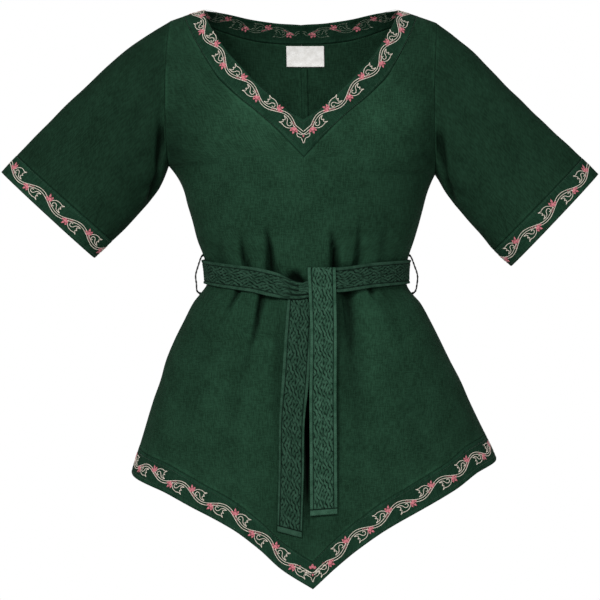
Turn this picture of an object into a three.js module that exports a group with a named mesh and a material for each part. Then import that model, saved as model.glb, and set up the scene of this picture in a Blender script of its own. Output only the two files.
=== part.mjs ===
// Short-sleeved tunic with a V neck, a pointed hem and a tied belt of its own cloth,
// in the filled-out form that it has when it is worn.
// Millimetres, Z up. The origin is the middle of the neck opening, level with the shoulder seams.
// The front faces -Y. The wearer's left is +X and the wearer's right is -X.
import * as THREE from 'three';

// Driving sizes
const CLOTH = 1.6;
const BAND_CLOTH = 2.2;
const BAND_LIFT = 0.3;
const BELT_CLOTH = 2.4;
const SEAM_GAP = 0.3;
const NECK_SEAM_GAP = 0.45;
const BAND_WIDTH = 32;
const HEM_BAND_RISE = 39;
const TAIL_WIDTH = 39;

// Half widths to the side seams, and the depths of the front and the back, at each height.
// The widths leave out the flare of the cloth into the underarm.
const SECTIONS = [
  { z: 30, right: 188, left: 190, front: 100, back: 90 },
  { z: -60, right: 188, left: 189, front: 114, back: 101 },
  { z: -160, right: 186, left: 187, front: 128, back: 112 },
  { z: -235, right: 181, left: 184, front: 129, back: 108 },
  { z: -278, right: 175, left: 178, front: 121, back: 99 },
  { z: -308, right: 167, left: 170, front: 114, back: 92 },
  { z: -337, right: 160, left: 161, front: 108, back: 88 },
  { z: -365, right: 150, left: 151, front: 104, back: 85 },
  { z: -384, right: 147, left: 148, front: 103, back: 84 },
  { z: -403, right: 147.5, left: 148.5, front: 103.5, back: 84.5 },
  { z: -415, right: 156, left: 155, front: 106, back: 91 },
  { z: -430, right: 168, left: 168, front: 110, back: 100 },
  { z: -456, right: 182, left: 182, front: 117, back: 113 },
  { z: -485, right: 197, left: 196, front: 123, back: 124 },
  { z: -515, right: 210, left: 210, front: 129, back: 132 },
  { z: -545, right: 219, left: 225, front: 134.5, back: 139 },
  { z: -574, right: 230, left: 237, front: 139.5, back: 145 },
  { z: -633, right: 249, left: 264, front: 147, back: 154 },
  { z: -678, right: 264, left: 284, front: 152, back: 159 },
  { z: -860, right: 323, left: 366, front: 168, back: 174 },
];

// Armholes: tip is the half width at the shoulder, pit the half width and height at the underarm,
// bow how far the seam curves out between them. Below it the cloth flares in over FLARE_HEIGHT.
const ARMHOLES = {
  right: { tip: 193.5, pit: 200.3, pitHeight: -228, bow: 5 },
  left: { tip: 201, pit: 194, pitHeight: -240.5, bow: -4 },
};
const ARMHOLE_DEPTH = 55;
const FLARE_HEIGHT = 50;
const FLARE_FALL = 2.2;
const BACK_PIT_LEVEL = -228;
const OPEN_ANGLE_TOP = 60;
const OPEN_ANGLE_HEIGHT = 90;

// The shoulder line falls from the neck to the tip, and the cloth rounds over it.
const NECK_TOP = 22;
const SHOULDER_FALL = 28;
const SHOULDER_SPAN = 172;
const SHOULDER_ROUND = 110;

// Front neck band, from the V to the shoulder: neckline edge and outer seam
const FRONT_NECK = [
  { edgeX: 0, edgeZ: -165, seamX: 0, seamZ: -220 },
  { edgeX: 23, edgeZ: -151, seamX: 44, seamZ: -174 },
  { edgeX: 48, edgeZ: -129, seamX: 70, seamZ: -151 },
  { edgeX: 68, edgeZ: -110, seamX: 90, seamZ: -135 },
  { edgeX: 86, edgeZ: -90, seamX: 108, seamZ: -118 },
  { edgeX: 106, edgeZ: -67, seamX: 126, seamZ: -98 },
  { edgeX: 124, edgeZ: -40, seamX: 148, seamZ: -60 },
  { edgeX: 137, edgeZ: -16, seamX: 165, seamZ: -25 },
  { edgeX: 146, edgeZ: 1.83, seamX: 174, seamZ: -6.65 },
];

// Back neck band, from the middle to the shoulder
const BACK_NECK = [
  { edgeX: 0, edgeZ: -13, seamX: 0, seamZ: -40.5 },
  { edgeX: 40, edgeZ: -10.5, seamX: 32, seamZ: -40 },
  { edgeX: 81, edgeZ: -5, seamX: 72, seamZ: -36 },
  { edgeX: 118, edgeZ: 1.4, seamX: 108, seamZ: -27 },
  { edgeX: 136, edgeZ: 2.6, seamX: 140, seamZ: -15 },
  { edgeX: 146, edgeZ: 1.83, seamX: 174, seamZ: -6.65 },
];

// Hem edge from the point to the side seam, as offsets from the centre line
const HEM = {
  right: [
    { x: 0, z: -840 }, { x: 45, z: -812 }, { x: 76, z: -784 }, { x: 114, z: -756 },
    { x: 166, z: -729 }, { x: 221, z: -702 }, { x: 264, z: -678 },
  ],
  left: [
    { x: 0, z: -840 }, { x: 31, z: -812 }, { x: 66, z: -784 }, { x: 108, z: -756 },
    { x: 158, z: -729 }, { x: 208, z: -702 }, { x: 247, z: -676 }, { x: 275.4, z: -658 },
  ],
};

// Gathers drawn in by the belt: angle round from the middle (degrees, wearer's left positive),
// height of the deepest place, how far the fold runs up and down, its half width and its depth.
const FRONT_GATHERS = [
  { angle: -36, peak: -383, up: 62, down: 80, width: 9, depth: 5 },
  { angle: -20, peak: -392, up: 82, down: 170, width: 10, depth: 8 },
  { angle: 16, peak: -384, up: 70, down: 60, width: 9, depth: 6 },
  { angle: 24, peak: -398, up: 30, down: 200, width: 11, depth: 7 },
  { angle: 31, peak: -380, up: 90, down: 45, width: 9, depth: 6 },
  { angle: 41, peak: -398, up: 25, down: 55, width: 9, depth: 4 },
  { angle: -60, peak: -392, up: 50, down: 75, width: 11, depth: 4 },
  { angle: 62, peak: -390, up: 60, down: 70, width: 11, depth: 4 },
];
const BACK_GATHERS = [
  { angle: -52, peak: -386, up: 58, down: 90, width: 12, depth: 5 },
  { angle: -33, peak: -390, up: 86, down: 150, width: 12, depth: 7 },
  { angle: -13, peak: -384, up: 64, down: 120, width: 11, depth: 6 },
  { angle: 11, peak: -392, up: 78, down: 190, width: 12, depth: 7 },
  { angle: 29, peak: -386, up: 60, down: 100, width: 11, depth: 5 },
  { angle: 49, peak: -390, up: 80, down: 140, width: 12, depth: 6 },
];

// Sleeves: upper and lower outline in the plane of the shoulders, and half depth, armhole to cuff
const SLEEVES = {
  right: [
    { topX: 0, topZ: 0, lowX: 0, lowZ: 0, depth: ARMHOLE_DEPTH },
    { topX: 257, topZ: -51, lowX: 215, lowZ: -262, depth: 58 },
    { topX: 314, topZ: -101, lowX: 240, lowZ: -293, depth: 57 },
    { topX: 370, topZ: -155, lowX: 262, lowZ: -318, depth: 54 },
    { topX: 425.5, topZ: -212, lowX: 284, lowZ: -338.5, depth: 51 },
    { topX: 448.4, topZ: -236.8, lowX: 310.8, lowZ: -364, depth: 49 },
  ],
  left: [
    { topX: 0, topZ: 0, lowX: 0, lowZ: 0, depth: ARMHOLE_DEPTH },
    { topX: 243, topZ: -52, lowX: 209, lowZ: -266, depth: 58 },
    { topX: 296, topZ: -105, lowX: 231, lowZ: -294, depth: 57 },
    { topX: 352, topZ: -160, lowX: 256, lowZ: -323, depth: 54 },
    { topX: 412, topZ: -216, lowX: 281, lowZ: -352, depth: 51 },
    { topX: 435.9, topZ: -239.8, lowX: 307, lowZ: -376, depth: 49 },
  ],
};
const SLEEVE_CUFF_STATION = 0.8;
const SLEEVE_LENGTH = 250;

// Drag folds that run down the sleeve from the armhole, and soft dents on its back:
// angle round from the top (front positive), place along, half lengths and depth
const SLEEVE_FOLDS = [
  { angle: 62, at: 0.2, width: 16, length: 0.16, depth: 5 },
  { angle: 120, at: 0.12, width: 20, length: 0.2, depth: 6 },
  { angle: -100, at: 0.25, width: 22, length: 0.22, depth: 5 },
  { angle: -48, at: 0.4, width: 18, length: 0.2, depth: 4 },
];

// Belt round the waist: angle from the middle of the front (degrees), height of its middle,
// its width there, and how far its inner face stands off the tunic.
const BELT = [
  { angle: 4.4, z: -397, width: 36, off: 3.6 },
  { angle: 12, z: -397, width: 36, off: 3.8 },
  { angle: 20, z: -396.5, width: 36, off: 3.5 },
  { angle: 42, z: -389.5, width: 36, off: 1.1 },
  { angle: 90, z: -384, width: 35, off: 1 },
  { angle: 180, z: -380, width: 36, off: 1 },
  { angle: 270, z: -384, width: 35, off: 1 },
  { angle: 326, z: -395.5, width: 36, off: 1.1 },
  { angle: 343, z: -404, width: 36, off: 3.5 },
  { angle: 353.5, z: -409, width: 27, off: 3.4 },
];
const KNOT = [
  { angle: -6.2, z: -409, width: 26.4, off: 3.4, thick: 2.6 },
  { angle: -3.6, z: -407.5, width: 19, off: 3.4, thick: 5.4 },
  { angle: -1, z: -406, width: 15, off: 3.4, thick: 4.4 },
  { angle: 1.5, z: -404, width: 15, off: 3.4, thick: 2.3 },
  { angle: 4, z: -404, width: 15, off: 3.4, thick: 2.3 },
];
// How much of that thickness stands across the knot, from its lower to its upper edge
const KNOT_PLEATS = [0, 0.9, 0.3, 1, 0.3, 0.9, 0];

// Hanging belt ends: middle line, and how far the middle of the cloth stands off the skirt
const HIDDEN_TAIL = [
  { x: -5, z: -411, off: 1.7, width: 34 },
  { x: -5, z: -428, off: 1.9, width: 38 },
  { x: -8, z: -470, off: 3.0, width: TAIL_WIDTH },
  { x: -12.5, z: -541, off: 3.4, width: TAIL_WIDTH },
  { x: -16, z: -640, off: 3.2, width: 38 },
  { x: -20, z: -762, off: 2.6, width: 36 },
];
const FRONT_TAIL = [
  { x: 25.5, z: -382, off: 8.2, width: TAIL_WIDTH },
  { x: 26, z: -430, off: 8.2, width: TAIL_WIDTH },
  { x: 26.5, z: -480, off: 7.6, width: TAIL_WIDTH },
  { x: 27, z: -560, off: 7, width: TAIL_WIDTH },
  { x: 27.5, z: -650, off: 6, width: TAIL_WIDTH },
  { x: 28, z: -734, off: 4, width: TAIL_WIDTH },
];
const HIDDEN_TAIL_SLANT = 9;
const FRONT_TAIL_SLANT = 3;
const FRONT_TAIL_FOLD = -378.6;
const TAIL_TUCK = 24;
const TAIL_BACK_OFF = 1.8;

const LABEL = { middle: 5.8, width: 57, top: -42.5, height: 31, thick: 0.6, inset: 1.1 };

// A thread loop at each side seam: how far its middle line stands off the seam at each height
const LOOP_RADIUS = 1.1;
const LOOP_PATH = [
  { out: 1.3, z: -361 }, { out: 4.5, z: -362.5 }, { out: 9.9, z: -376 }, { out: 13.5, z: -389.5 },
  { out: 11.8, z: -402 }, { out: 5.2, z: -412.5 }, { out: 1.4, z: -414 },
];

// Grid counts
const FRONT_COLUMNS = 18;
const BACK_COLUMNS = 11;
const BACK_SEAM_COLUMNS = 9;
const SLEEVE_SEGMENTS = 28;
const SLEEVE_ROWS = 7;
const BELT_STEPS = 76;
const TAIL_STEPS = 22;
const FOLD_STEPS = 6;

const DEGREE = Math.PI / 180;
const SIDE_NAME = { '-1': 'right', 1: 'left' };
const FRONT = -1;
const BACK = 1;

const lerp = (a, b, t) => a + (b - a) * t;
const clamp = (value, low, high) => Math.min(high, Math.max(low, value));
const smoothStep = (t) => t * t * (3 - 2 * t);

// A smooth curve through one column of a table, over another column that always rises or falls.
function column(table, key, value) {
  const rows = [...table].sort((a, b) => a[key] - b[key]);
  const slopes = rows.map((row, i) => {
    const before = rows[Math.max(i - 1, 0)];
    const after = rows[Math.min(i + 1, rows.length - 1)];
    return (after[value] - before[value]) / (after[key] - before[key]);
  });
  return (at) => {
    let i = 0;
    while (i < rows.length - 2 && at > rows[i + 1][key]) i += 1;
    const span = rows[i + 1][key] - rows[i][key];
    const t = (at - rows[i][key]) / span;
    if (t < 0) return rows[i][value] + slopes[i] * t * span;
    if (t > 1) return rows[i + 1][value] + slopes[i + 1] * (t - 1) * span;
    const rise = t * t * (3 - 2 * t);
    return rows[i][value] * (1 - rise) + rows[i + 1][value] * rise
      + span * (slopes[i] * t * (1 - t) * (1 - t) - slopes[i + 1] * t * t * (1 - t));
  };
}

// The same through equally spaced rows, from 0 at the first to 1 at the last.
function station(table, value) {
  const rows = table.map((row, i) => ({ at: i / (table.length - 1), value: row[value] }));
  return column(rows, 'at', 'value');
}

const baseWidth = {
  right: column(SECTIONS, 'z', 'right'),
  left: column(SECTIONS, 'z', 'left'),
};
const fullDepth = {
  [FRONT]: column(SECTIONS, 'z', 'front'),
  [BACK]: column(SECTIONS, 'z', 'back'),
};
const centreLine = (z) => -5 - 0.021 * z;
const shoulderTop = (x) => NECK_TOP - SHOULDER_FALL * (x / SHOULDER_SPAN) ** 2;
const tipHeight = (arm) => shoulderTop(arm.tip);

// Height below the shoulder line, as an angle round the shoulder that carries on down the body
function dropOf(turn) {
  if (turn < Math.PI / 2) return SHOULDER_ROUND * (1 - Math.cos(turn));
  return SHOULDER_ROUND * (1 + turn - Math.PI / 2);
}
function turnOf(drop) {
  if (drop < SHOULDER_ROUND) return Math.acos(clamp(1 - drop / SHOULDER_ROUND, -1, 1));
  return Math.PI / 2 + (drop - SHOULDER_ROUND) / SHOULDER_ROUND;
}

function armholePlace(side, z) {
  const arm = ARMHOLES[SIDE_NAME[side]];
  const tip = tipHeight(arm);
  const middle = (tip + arm.pitHeight) / 2;
  const half = (tip - arm.pitHeight) / 2;
  const level = clamp((z - middle) / half, -1, 1);
  return { arm, level, above: z > arm.pitHeight };
}

function edgeWidth(side, z) {
  const { arm, level, above } = armholePlace(side, z);
  if (above) return lerp(arm.pit, arm.tip, (level + 1) / 2) + arm.bow * (1 - level * level);
  const below = clamp((arm.pitHeight - z) / FLARE_HEIGHT, 0, 1);
  const base = baseWidth[SIDE_NAME[side]];
  return base(z) + (arm.pit - base(arm.pitHeight)) * (1 - below) ** FLARE_FALL;
}

// The armhole's half depth, met by a line that falls with the shoulder from x and z out to the side
function armholeDepth(side, x, z) {
  const { arm } = armholePlace(side, z);
  const fall = shoulderTop(x) - shoulderTop(edgeWidth(side, z));
  const share = clamp((z - arm.pitHeight) / (tipHeight(arm) - arm.pitHeight), 0, 1);
  const { level, above } = armholePlace(side, z - fall * share);
  return above ? ARMHOLE_DEPTH * Math.sqrt(1 - level * level) : 0;
}

function openAngle(side, z) {
  const { arm } = armholePlace(side, z);
  const t = clamp((z - arm.pitHeight) / OPEN_ANGLE_HEIGHT, 0, 1);
  return lerp(90, OPEN_ANGLE_TOP, smoothStep(t)) * DEGREE;
}

// Distance from the centre line at a part q of the way round to the side, and its inverse
function reach(side, q, z) {
  const open = openAngle(side, z);
  const base = baseWidth[SIDE_NAME[side]](z);
  return base * Math.sin(q * open) / Math.sin(open) + (edgeWidth(side, z) - base) * q ** 5;
}
function roundTo(side, x, z) {
  let low = 0;
  let high = 1;
  for (let i = 0; i < 40; i += 1) {
    const middle = (low + high) / 2;
    if (reach(side, middle, z) < x) low = middle;
    else high = middle;
  }
  return (low + high) / 2;
}

function gatherDepth(face, side, q, z) {
  const table = face === FRONT ? FRONT_GATHERS : BACK_GATHERS;
  const angle = side * q * 90;
  const scale = baseWidth[SIDE_NAME[side]](z) * DEGREE;
  let sum = 0;
  for (const fold of table) {
    const run = z > fold.peak ? fold.up : fold.down;
    const along = Math.abs(z - fold.peak) / run;
    if (along >= 1) continue;
    const across = (angle - fold.angle) * scale / fold.width;
    sum += fold.depth * Math.cos(along * Math.PI / 2) ** 2 * Math.exp(-across * across);
  }
  return sum;
}

const rowCount = (counts) => Object.values(counts).reduce((sum, count) => sum + count, 0);

// A point of the tunic's outer face. Past the centre line, q is negative and the side changes.
function bodyPoint(side, face, q, z, folded = true) {
  const hand = q < 0 ? -side : side;
  const part = Math.abs(q);
  const x = reach(hand, part, z);
  const open = openAngle(hand, z);
  const turn = turnOf(Math.max(shoulderTop(x) - z, 0));
  const crown = fullDepth[face](z) * Math.sin(Math.min(turn, Math.PI / 2));
  const edge = armholeDepth(hand, x, z);
  const swell = (Math.cos(part * open) - Math.cos(open)) / (1 - Math.cos(open));
  const sunk = folded ? gatherDepth(face, hand, part, z) : 0;
  const depth = edge + (crown - edge) * swell - sunk * Math.min(1, swell * 4);
  return new THREE.Vector3(centreLine(z) + hand * x, face * (SEAM_GAP / 2 + depth), z);
}

// The height at which a turn round the shoulder is reached, for a part q of the way round
function heightAt(side, q, turn) {
  let z = NECK_TOP - dropOf(turn);
  for (let i = 0; i < 8; i += 1) z = shoulderTop(reach(side, Math.abs(q), z)) - dropOf(turn);
  return z;
}

// A sheet is a set of points with outward normals and quads between them.
function newSheet() {
  return { points: [], normals: [], quads: [] };
}

// Points a sheet from pointAt(column, row), with columns and rows counted from 0.
function addGrid(sheet, columns, rows, pointAt, outward, options = {}) {
  const { closed = false, shared = null, normalAt = null } = options;
  const step = 1e-3;
  const across = new THREE.Vector3();
  const along = new THREE.Vector3();
  const normal = (i, j) => {
    const low = Math.max(j - step, 0);
    const high = Math.min(j + step, rows);
    const far = closed ? i + step : Math.min(i + step, columns);
    across.copy(pointAt(far, j)).sub(pointAt(i - step, j));
    along.copy(pointAt(i, high)).sub(pointAt(i, low));
    return new THREE.Vector3().crossVectors(across, along).normalize();
  };
  const midColumn = Math.floor(columns / 2);
  const midRow = Math.floor(rows / 2);
  const sign = Math.sign(normal(midColumn, midRow).dot(outward(pointAt(midColumn, midRow))));
  const index = [];
  for (let j = 0; j <= rows; j += 1) {
    index.push([]);
    for (let i = 0; i <= (closed ? columns - 1 : columns); i += 1) {
      const known = shared && shared.get(`${i},${j}`);
      if (known !== undefined && known !== null) {
        index[j].push(known);
        continue;
      }
      const direction = normal(i, j).multiplyScalar(sign);
      index[j].push(sheet.points.length);
      sheet.points.push(pointAt(i, j));
      sheet.normals.push(normalAt ? normalAt(direction, i, j) : direction);
    }
    if (closed) index[j].push(index[j][0]);
  }
  for (let j = 0; j < rows; j += 1) {
    for (let i = 0; i < columns; i += 1) {
      const quad = [index[j][i], index[j][i + 1], index[j + 1][i + 1], index[j + 1][i]];
      sheet.quads.push(sign > 0 ? quad : quad.reverse());
    }
  }
  return index;
}

// Makes a closed wall: the sheet moved out by lift, and the same moved in from there by thickness.
function wall(sheet, thickness, lift = 0) {
  const count = sheet.points.length;
  const valueOf = (size, i) => (typeof size === 'function' ? size(i) : size);
  const position = [];
  for (const side of [0, 1]) {
    sheet.points.forEach((point, i) => {
      const out = valueOf(lift, i) - side * valueOf(thickness, i);
      const normal = sheet.normals[i];
      position.push(point.x + normal.x * out, point.y + normal.y * out, point.z + normal.z * out);
    });
  }
  const triangles = [];
  const quad = (a, b, c, d) => triangles.push(a, b, c, a, c, d);
  const edges = new Set();
  for (const [a, b, c, d] of sheet.quads) {
    quad(a, b, c, d);
    triangles.push(a + count, c + count, b + count, a + count, d + count, c + count);
    for (const [from, to] of [[a, b], [b, c], [c, d], [d, a]]) edges.add(`${from},${to}`);
  }
  for (const edge of edges) {
    const [from, to] = edge.split(',').map(Number);
    if (!edges.has(`${to},${from}`)) quad(to, from, from + count, to + count);
  }
  const geometry = new THREE.BufferGeometry();
  geometry.setAttribute('position', new THREE.Float32BufferAttribute(position, 3));
  geometry.setIndex(triangles);
  return geometry;
}

const fromTorso = (point) => new THREE.Vector3(point.x - centreLine(point.z), point.y, 100);

// Rows of a panel: zones stacked from the hem up, each with its number of rows
const HIP_HEIGHT = -470;
const BELT_FOOT = -403;
const WAIST_TOP = -310;
const FRONT_ROWS = { skirt: 8, hip: 5, waist: 6, chest: 5, neck: 11 };
const BACK_ROWS = { skirt: 6, hip: 4, waist: 5, chest: 4, neck: 8 };

const hemTable = {};
for (const side of [-1, 1]) {
  const rows = HEM[SIDE_NAME[side]];
  const last = rows.length - 1;
  hemTable[side] = column(
    rows.map((row, i) => ({ q: i === last ? 1 : roundTo(side, row.x, row.z), z: row.z })),
    'q',
    'z',
  );
}
// Even across the centre line, so that the point stays sharp
const hemHeight = (side, q) => (q < 0 ? hemTable[-side](-q) : hemTable[side](q));
const hemSeamHeight = (side, q) => hemHeight(side, q) + HEM_BAND_RISE;

const neckCurves = (table) => {
  const rows = table.map((row) => ({
    edgeX: row.edgeX,
    edgeTurn: turnOf(Math.max(shoulderTop(row.edgeX) - row.edgeZ, 0)),
    seamX: row.seamX,
    seamTurn: turnOf(Math.max(shoulderTop(row.seamX) - row.seamZ, 0)),
  }));
  rows[rows.length - 1].edgeTurn = 0;
  rows[rows.length - 1].seamTurn = 0;
  return {
    edgeX: station(rows, 'edgeX'),
    edgeTurn: station(rows, 'edgeTurn'),
    seamX: station(rows, 'seamX'),
    seamTurn: station(rows, 'seamTurn'),
  };
};
const frontNeck = neckCurves(FRONT_NECK);
const backNeck = neckCurves(BACK_NECK);

// The turn of a level row at each part of the way round
function levelTurn(side, q, innerZ, outerZ) {
  const part = Math.abs(q);
  const inner = turnOf(shoulderTop(0) - innerZ);
  const outer = turnOf(shoulderTop(edgeWidth(side, outerZ)) - outerZ);
  return lerp(inner, outer, part);
}

// Where a row of the skirt and waist lies: both panels share these zones.
function lowerHeight(side, q, row, counts) {
  const hand = q < 0 ? -side : side;
  if (row <= counts.skirt) return lerp(hemSeamHeight(side, q), HIP_HEIGHT, row / counts.skirt);
  const over = row - counts.skirt;
  if (over <= counts.hip) return lerp(HIP_HEIGHT, BELT_FOOT, over / counts.hip);
  const top = heightAt(hand, q, levelTurn(hand, q, WAIST_TOP, WAIST_TOP));
  return lerp(BELT_FOOT, top, (over - counts.hip) / counts.waist);
}

function frontPoint(side, a, row) {
  const { skirt, hip, waist, chest, neck } = FRONT_ROWS;
  const lower = skirt + hip + waist;
  const arm = ARMHOLES[SIDE_NAME[side]];
  if (row <= lower) return bodyPoint(side, FRONT, a, lowerHeight(side, a, row, FRONT_ROWS));
  if (row <= lower + chest) {
    const t = (row - lower) / chest;
    const hand = a < 0 ? -side : side;
    const pit = ARMHOLES[SIDE_NAME[hand]].pitHeight;
    const turn = lerp(
      levelTurn(hand, a, WAIST_TOP, WAIST_TOP),
      levelTurn(hand, a, FRONT_NECK[0].seamZ, pit),
      t,
    );
    return bodyPoint(side, FRONT, a, heightAt(hand, a, turn));
  }
  const t = (row - lower - chest) / neck;
  const x = frontNeck.seamX(t);
  const innerTurn = frontNeck.seamTurn(t);
  const inner = roundTo(side, x, shoulderTop(x) - dropOf(innerTurn));
  const tip = tipHeight(arm);
  const outerZ = lerp(arm.pitHeight, tip, (1 - Math.cos(Math.PI * t)) / 2);
  const outerTurn = turnOf(Math.max(shoulderTop(edgeWidth(side, outerZ)) - outerZ, 0));
  const q = inner + (1 - inner) * a;
  return bodyPoint(side, FRONT, q, heightAt(side, q, lerp(innerTurn, outerTurn, a)));
}

// Along the side and shoulder seams the wall's thickness stays in the plane of the seam.
function inSeamPlane(normal) {
  const flat = new THREE.Vector3(normal.x, 0, normal.z);
  return flat.normalize();
}

function buildFront() {
  const sheet = newSheet();
  const rows = rowCount(FRONT_ROWS);
  const vRow = rows - FRONT_ROWS.neck;
  const normalAt = (normal, i, j) => {
    const onSeam = (i === FRONT_COLUMNS && j <= vRow) || j === rows;
    return onSeam ? inSeamPlane(normal) : normal;
  };
  const shared = new Map();
  for (const side of [1, -1]) {
    const pointAt = (i, j) => frontPoint(side, i / FRONT_COLUMNS, j);
    const index = addGrid(sheet, FRONT_COLUMNS, rows, pointAt, fromTorso, { shared, normalAt });
    for (let j = 0; j <= vRow; j += 1) shared.set(`0,${j}`, index[j][0]);
  }
  return wall(sheet, CLOTH);
}

// The back is cut in two halves. The columns meet the end of the neck band at the shoulder.
function backPoint(side, a, row) {
  const { skirt, hip, waist, chest, neck } = BACK_ROWS;
  const lower = skirt + hip + waist;
  const arm = ARMHOLES[SIDE_NAME[side]];
  const corner = BACK_SEAM_COLUMNS / BACK_COLUMNS;
  const part = clamp(a, 0, 2);
  const seamShift = (point) => {
    point.x += side * SEAM_GAP / 2 * Math.max(0, 1 - part * 4);
    return point;
  };
  if (row <= lower) {
    return seamShift(bodyPoint(side, BACK, part, lowerHeight(side, part, row, BACK_ROWS)));
  }
  const armpitTurn = levelTurn(side, part, BACK_PIT_LEVEL, arm.pitHeight);
  if (row <= lower + chest) {
    const t = (row - lower) / chest;
    const turn = lerp(levelTurn(side, part, WAIST_TOP, WAIST_TOP), armpitTurn, t);
    return seamShift(bodyPoint(side, BACK, part, heightAt(side, part, turn)));
  }
  const t = (row - lower - chest) / neck;
  const along = Math.min(part / corner, 1);
  const x = backNeck.seamX(along);
  const seamTurn = backNeck.seamTurn(along);
  const seamPart = roundTo(side, x, shoulderTop(x) - dropOf(seamTurn));
  const topPart = part <= corner ? seamPart : lerp(seamPart, 1, (part - corner) / (1 - corner));
  const outerZ = lerp(arm.pitHeight, tipHeight(arm), (1 - Math.cos(Math.PI * t)) / 2);
  const outerTurn = turnOf(Math.max(shoulderTop(edgeWidth(side, outerZ)) - outerZ, 0));
  const pitTurn = levelTurn(side, 1, BACK_PIT_LEVEL, arm.pitHeight);
  const rise = lerp(Math.sin(t * Math.PI / 2), 1 - outerTurn / pitTurn, part ** 3);
  const turn = lerp(armpitTurn, part <= corner ? seamTurn : 0, rise);
  const q = lerp(part, topPart, t);
  return seamShift(bodyPoint(side, BACK, q, heightAt(side, q, turn)));
}

function buildBack(side) {
  const sheet = newSheet();
  const rows = rowCount(BACK_ROWS);
  const pointAt = (i, j) => backPoint(side, i / BACK_COLUMNS, j);
  const normalAt = (normal, i, j) => {
    const onSide = i === BACK_COLUMNS && j <= rows - BACK_ROWS.neck;
    const onShoulder = i >= BACK_SEAM_COLUMNS && j === rows;
    return onSide || onShoulder ? inSeamPlane(normal) : normal;
  };
  addGrid(sheet, BACK_COLUMNS, rows, pointAt, fromTorso, { normalAt });
  return wall(sheet, CLOTH);
}

// A neck band lies between the neckline edge and its seam on the same form as the panel.
function buildNeckBand(face, curves, steps) {
  const sheet = newSheet();
  const across = 3;
  const full = 1 - NECK_SEAM_GAP / BAND_WIDTH;
  const shared = new Map();
  for (const side of [1, -1]) {
    const pointAt = (i, j) => {
      const s = Math.abs(j) / steps;
      const hand = j < 0 ? -side : side;
      const t = i / across * full;
      const x = lerp(curves.edgeX(s), curves.seamX(s), t);
      const turn = Math.max(lerp(curves.edgeTurn(s), curves.seamTurn(s), t), 0);
      const z = shoulderTop(x) - dropOf(turn);
      return bodyPoint(hand, face, roundTo(hand, x, z), z);
    };
    const normalAt = (normal, i, j) => (j === steps ? inSeamPlane(normal) : normal);
    const index = addGrid(sheet, across, steps, pointAt, fromTorso, { shared, normalAt });
    for (let i = 0; i <= across; i += 1) shared.set(`${i},0`, index[0][i]);
  }
  return wall(sheet, BAND_CLOTH, BAND_LIFT);
}

function buildHemBand(face, columns) {
  const sheet = newSheet();
  const rows = 2;
  const full = 1 - SEAM_GAP / BAND_WIDTH;
  const pointAt = (i, j) => {
    const side = i < columns ? -1 : 1;
    const q = side < 0 ? 1 - i / columns : i / columns - 1;
    const z = lerp(hemHeight(side, q), hemSeamHeight(side, q), j / rows * full);
    return bodyPoint(side, face, q, z);
  };
  const normalAt = (normal, i) => (i === 0 || i === 2 * columns ? inSeamPlane(normal) : normal);
  const outward = () => new THREE.Vector3(0, face, 0);
  addGrid(sheet, 2 * columns, rows, pointAt, outward, { normalAt });
  return wall(sheet, BAND_CLOTH, BAND_LIFT);
}

// A ring round the arm at s, from 0 at the armhole to 1 at the cuff
function sleeveCurves(side) {
  const name = SIDE_NAME[side];
  const arm = ARMHOLES[name];
  const tip = tipHeight(arm);
  const rows = SLEEVES[name].map((row) => ({ ...row }));
  Object.assign(rows[0], {
    topX: arm.tip + side * centreLine(tip),
    topZ: tip,
    lowX: arm.pit + side * centreLine(arm.pitHeight),
    lowZ: arm.pitHeight,
  });
  const curves = {};
  for (const key of ['topX', 'topZ', 'lowX', 'lowZ', 'depth']) curves[key] = station(rows, key);
  curves.bow = arm.bow;
  return curves;
}

function sleevePoint(side, curves, around, s) {
  const cos = Math.cos(around);
  const sin = Math.sin(around);
  const top = new THREE.Vector2(curves.topX(s), curves.topZ(s));
  const low = new THREE.Vector2(curves.lowX(s), curves.lowZ(s));
  const bow = curves.bow * (1 - cos * cos) * Math.max(0, 1 - 3 * s) ** 2;
  let depth = curves.depth(s) * sin;
  for (const fold of SLEEVE_FOLDS) {
    const off = around - fold.angle * DEGREE;
    const across = Math.atan2(Math.sin(off), Math.cos(off)) / DEGREE / fold.width;
    const along = (s - fold.at) / fold.length;
    const fade = Math.min(1, s * 20);
    depth -= Math.sign(sin) * fade * fold.depth * Math.exp(-across * across - along * along);
  }
  const x = lerp(low.x, top.x, (1 + cos) / 2) + bow + SEAM_GAP;
  return new THREE.Vector3(side * x, -depth, lerp(low.y, top.y, (1 + cos) / 2));
}

function sleeveTube(side, from, to, rows, thickness, lift) {
  const curves = sleeveCurves(side);
  const sheet = newSheet();
  const pointAt = (i, j) => {
    const s = lerp(from, to, j / rows);
    return sleevePoint(side, curves, i / SLEEVE_SEGMENTS * 2 * Math.PI, s);
  };
  const outward = (point) => {
    const s = lerp(from, to, Math.floor(rows / 2) / rows);
    const x = side * (curves.topX(s) + curves.lowX(s)) / 2;
    const z = (curves.topZ(s) + curves.lowZ(s)) / 2;
    return new THREE.Vector3(point.x - x, point.y, point.z - z);
  };
  // At the armhole the wall's thickness stays in the plane of the seam.
  const normalAt = (normal, i, j) => {
    if (from > 0 || j > 0) return normal;
    const flat = new THREE.Vector3(0, normal.y, normal.z);
    return flat.divideScalar(flat.lengthSq() ** 0.5);
  };
  addGrid(sheet, SLEEVE_SEGMENTS, rows, pointAt, outward, { closed: true, normalAt });
  return wall(sheet, thickness, lift);
}

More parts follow.
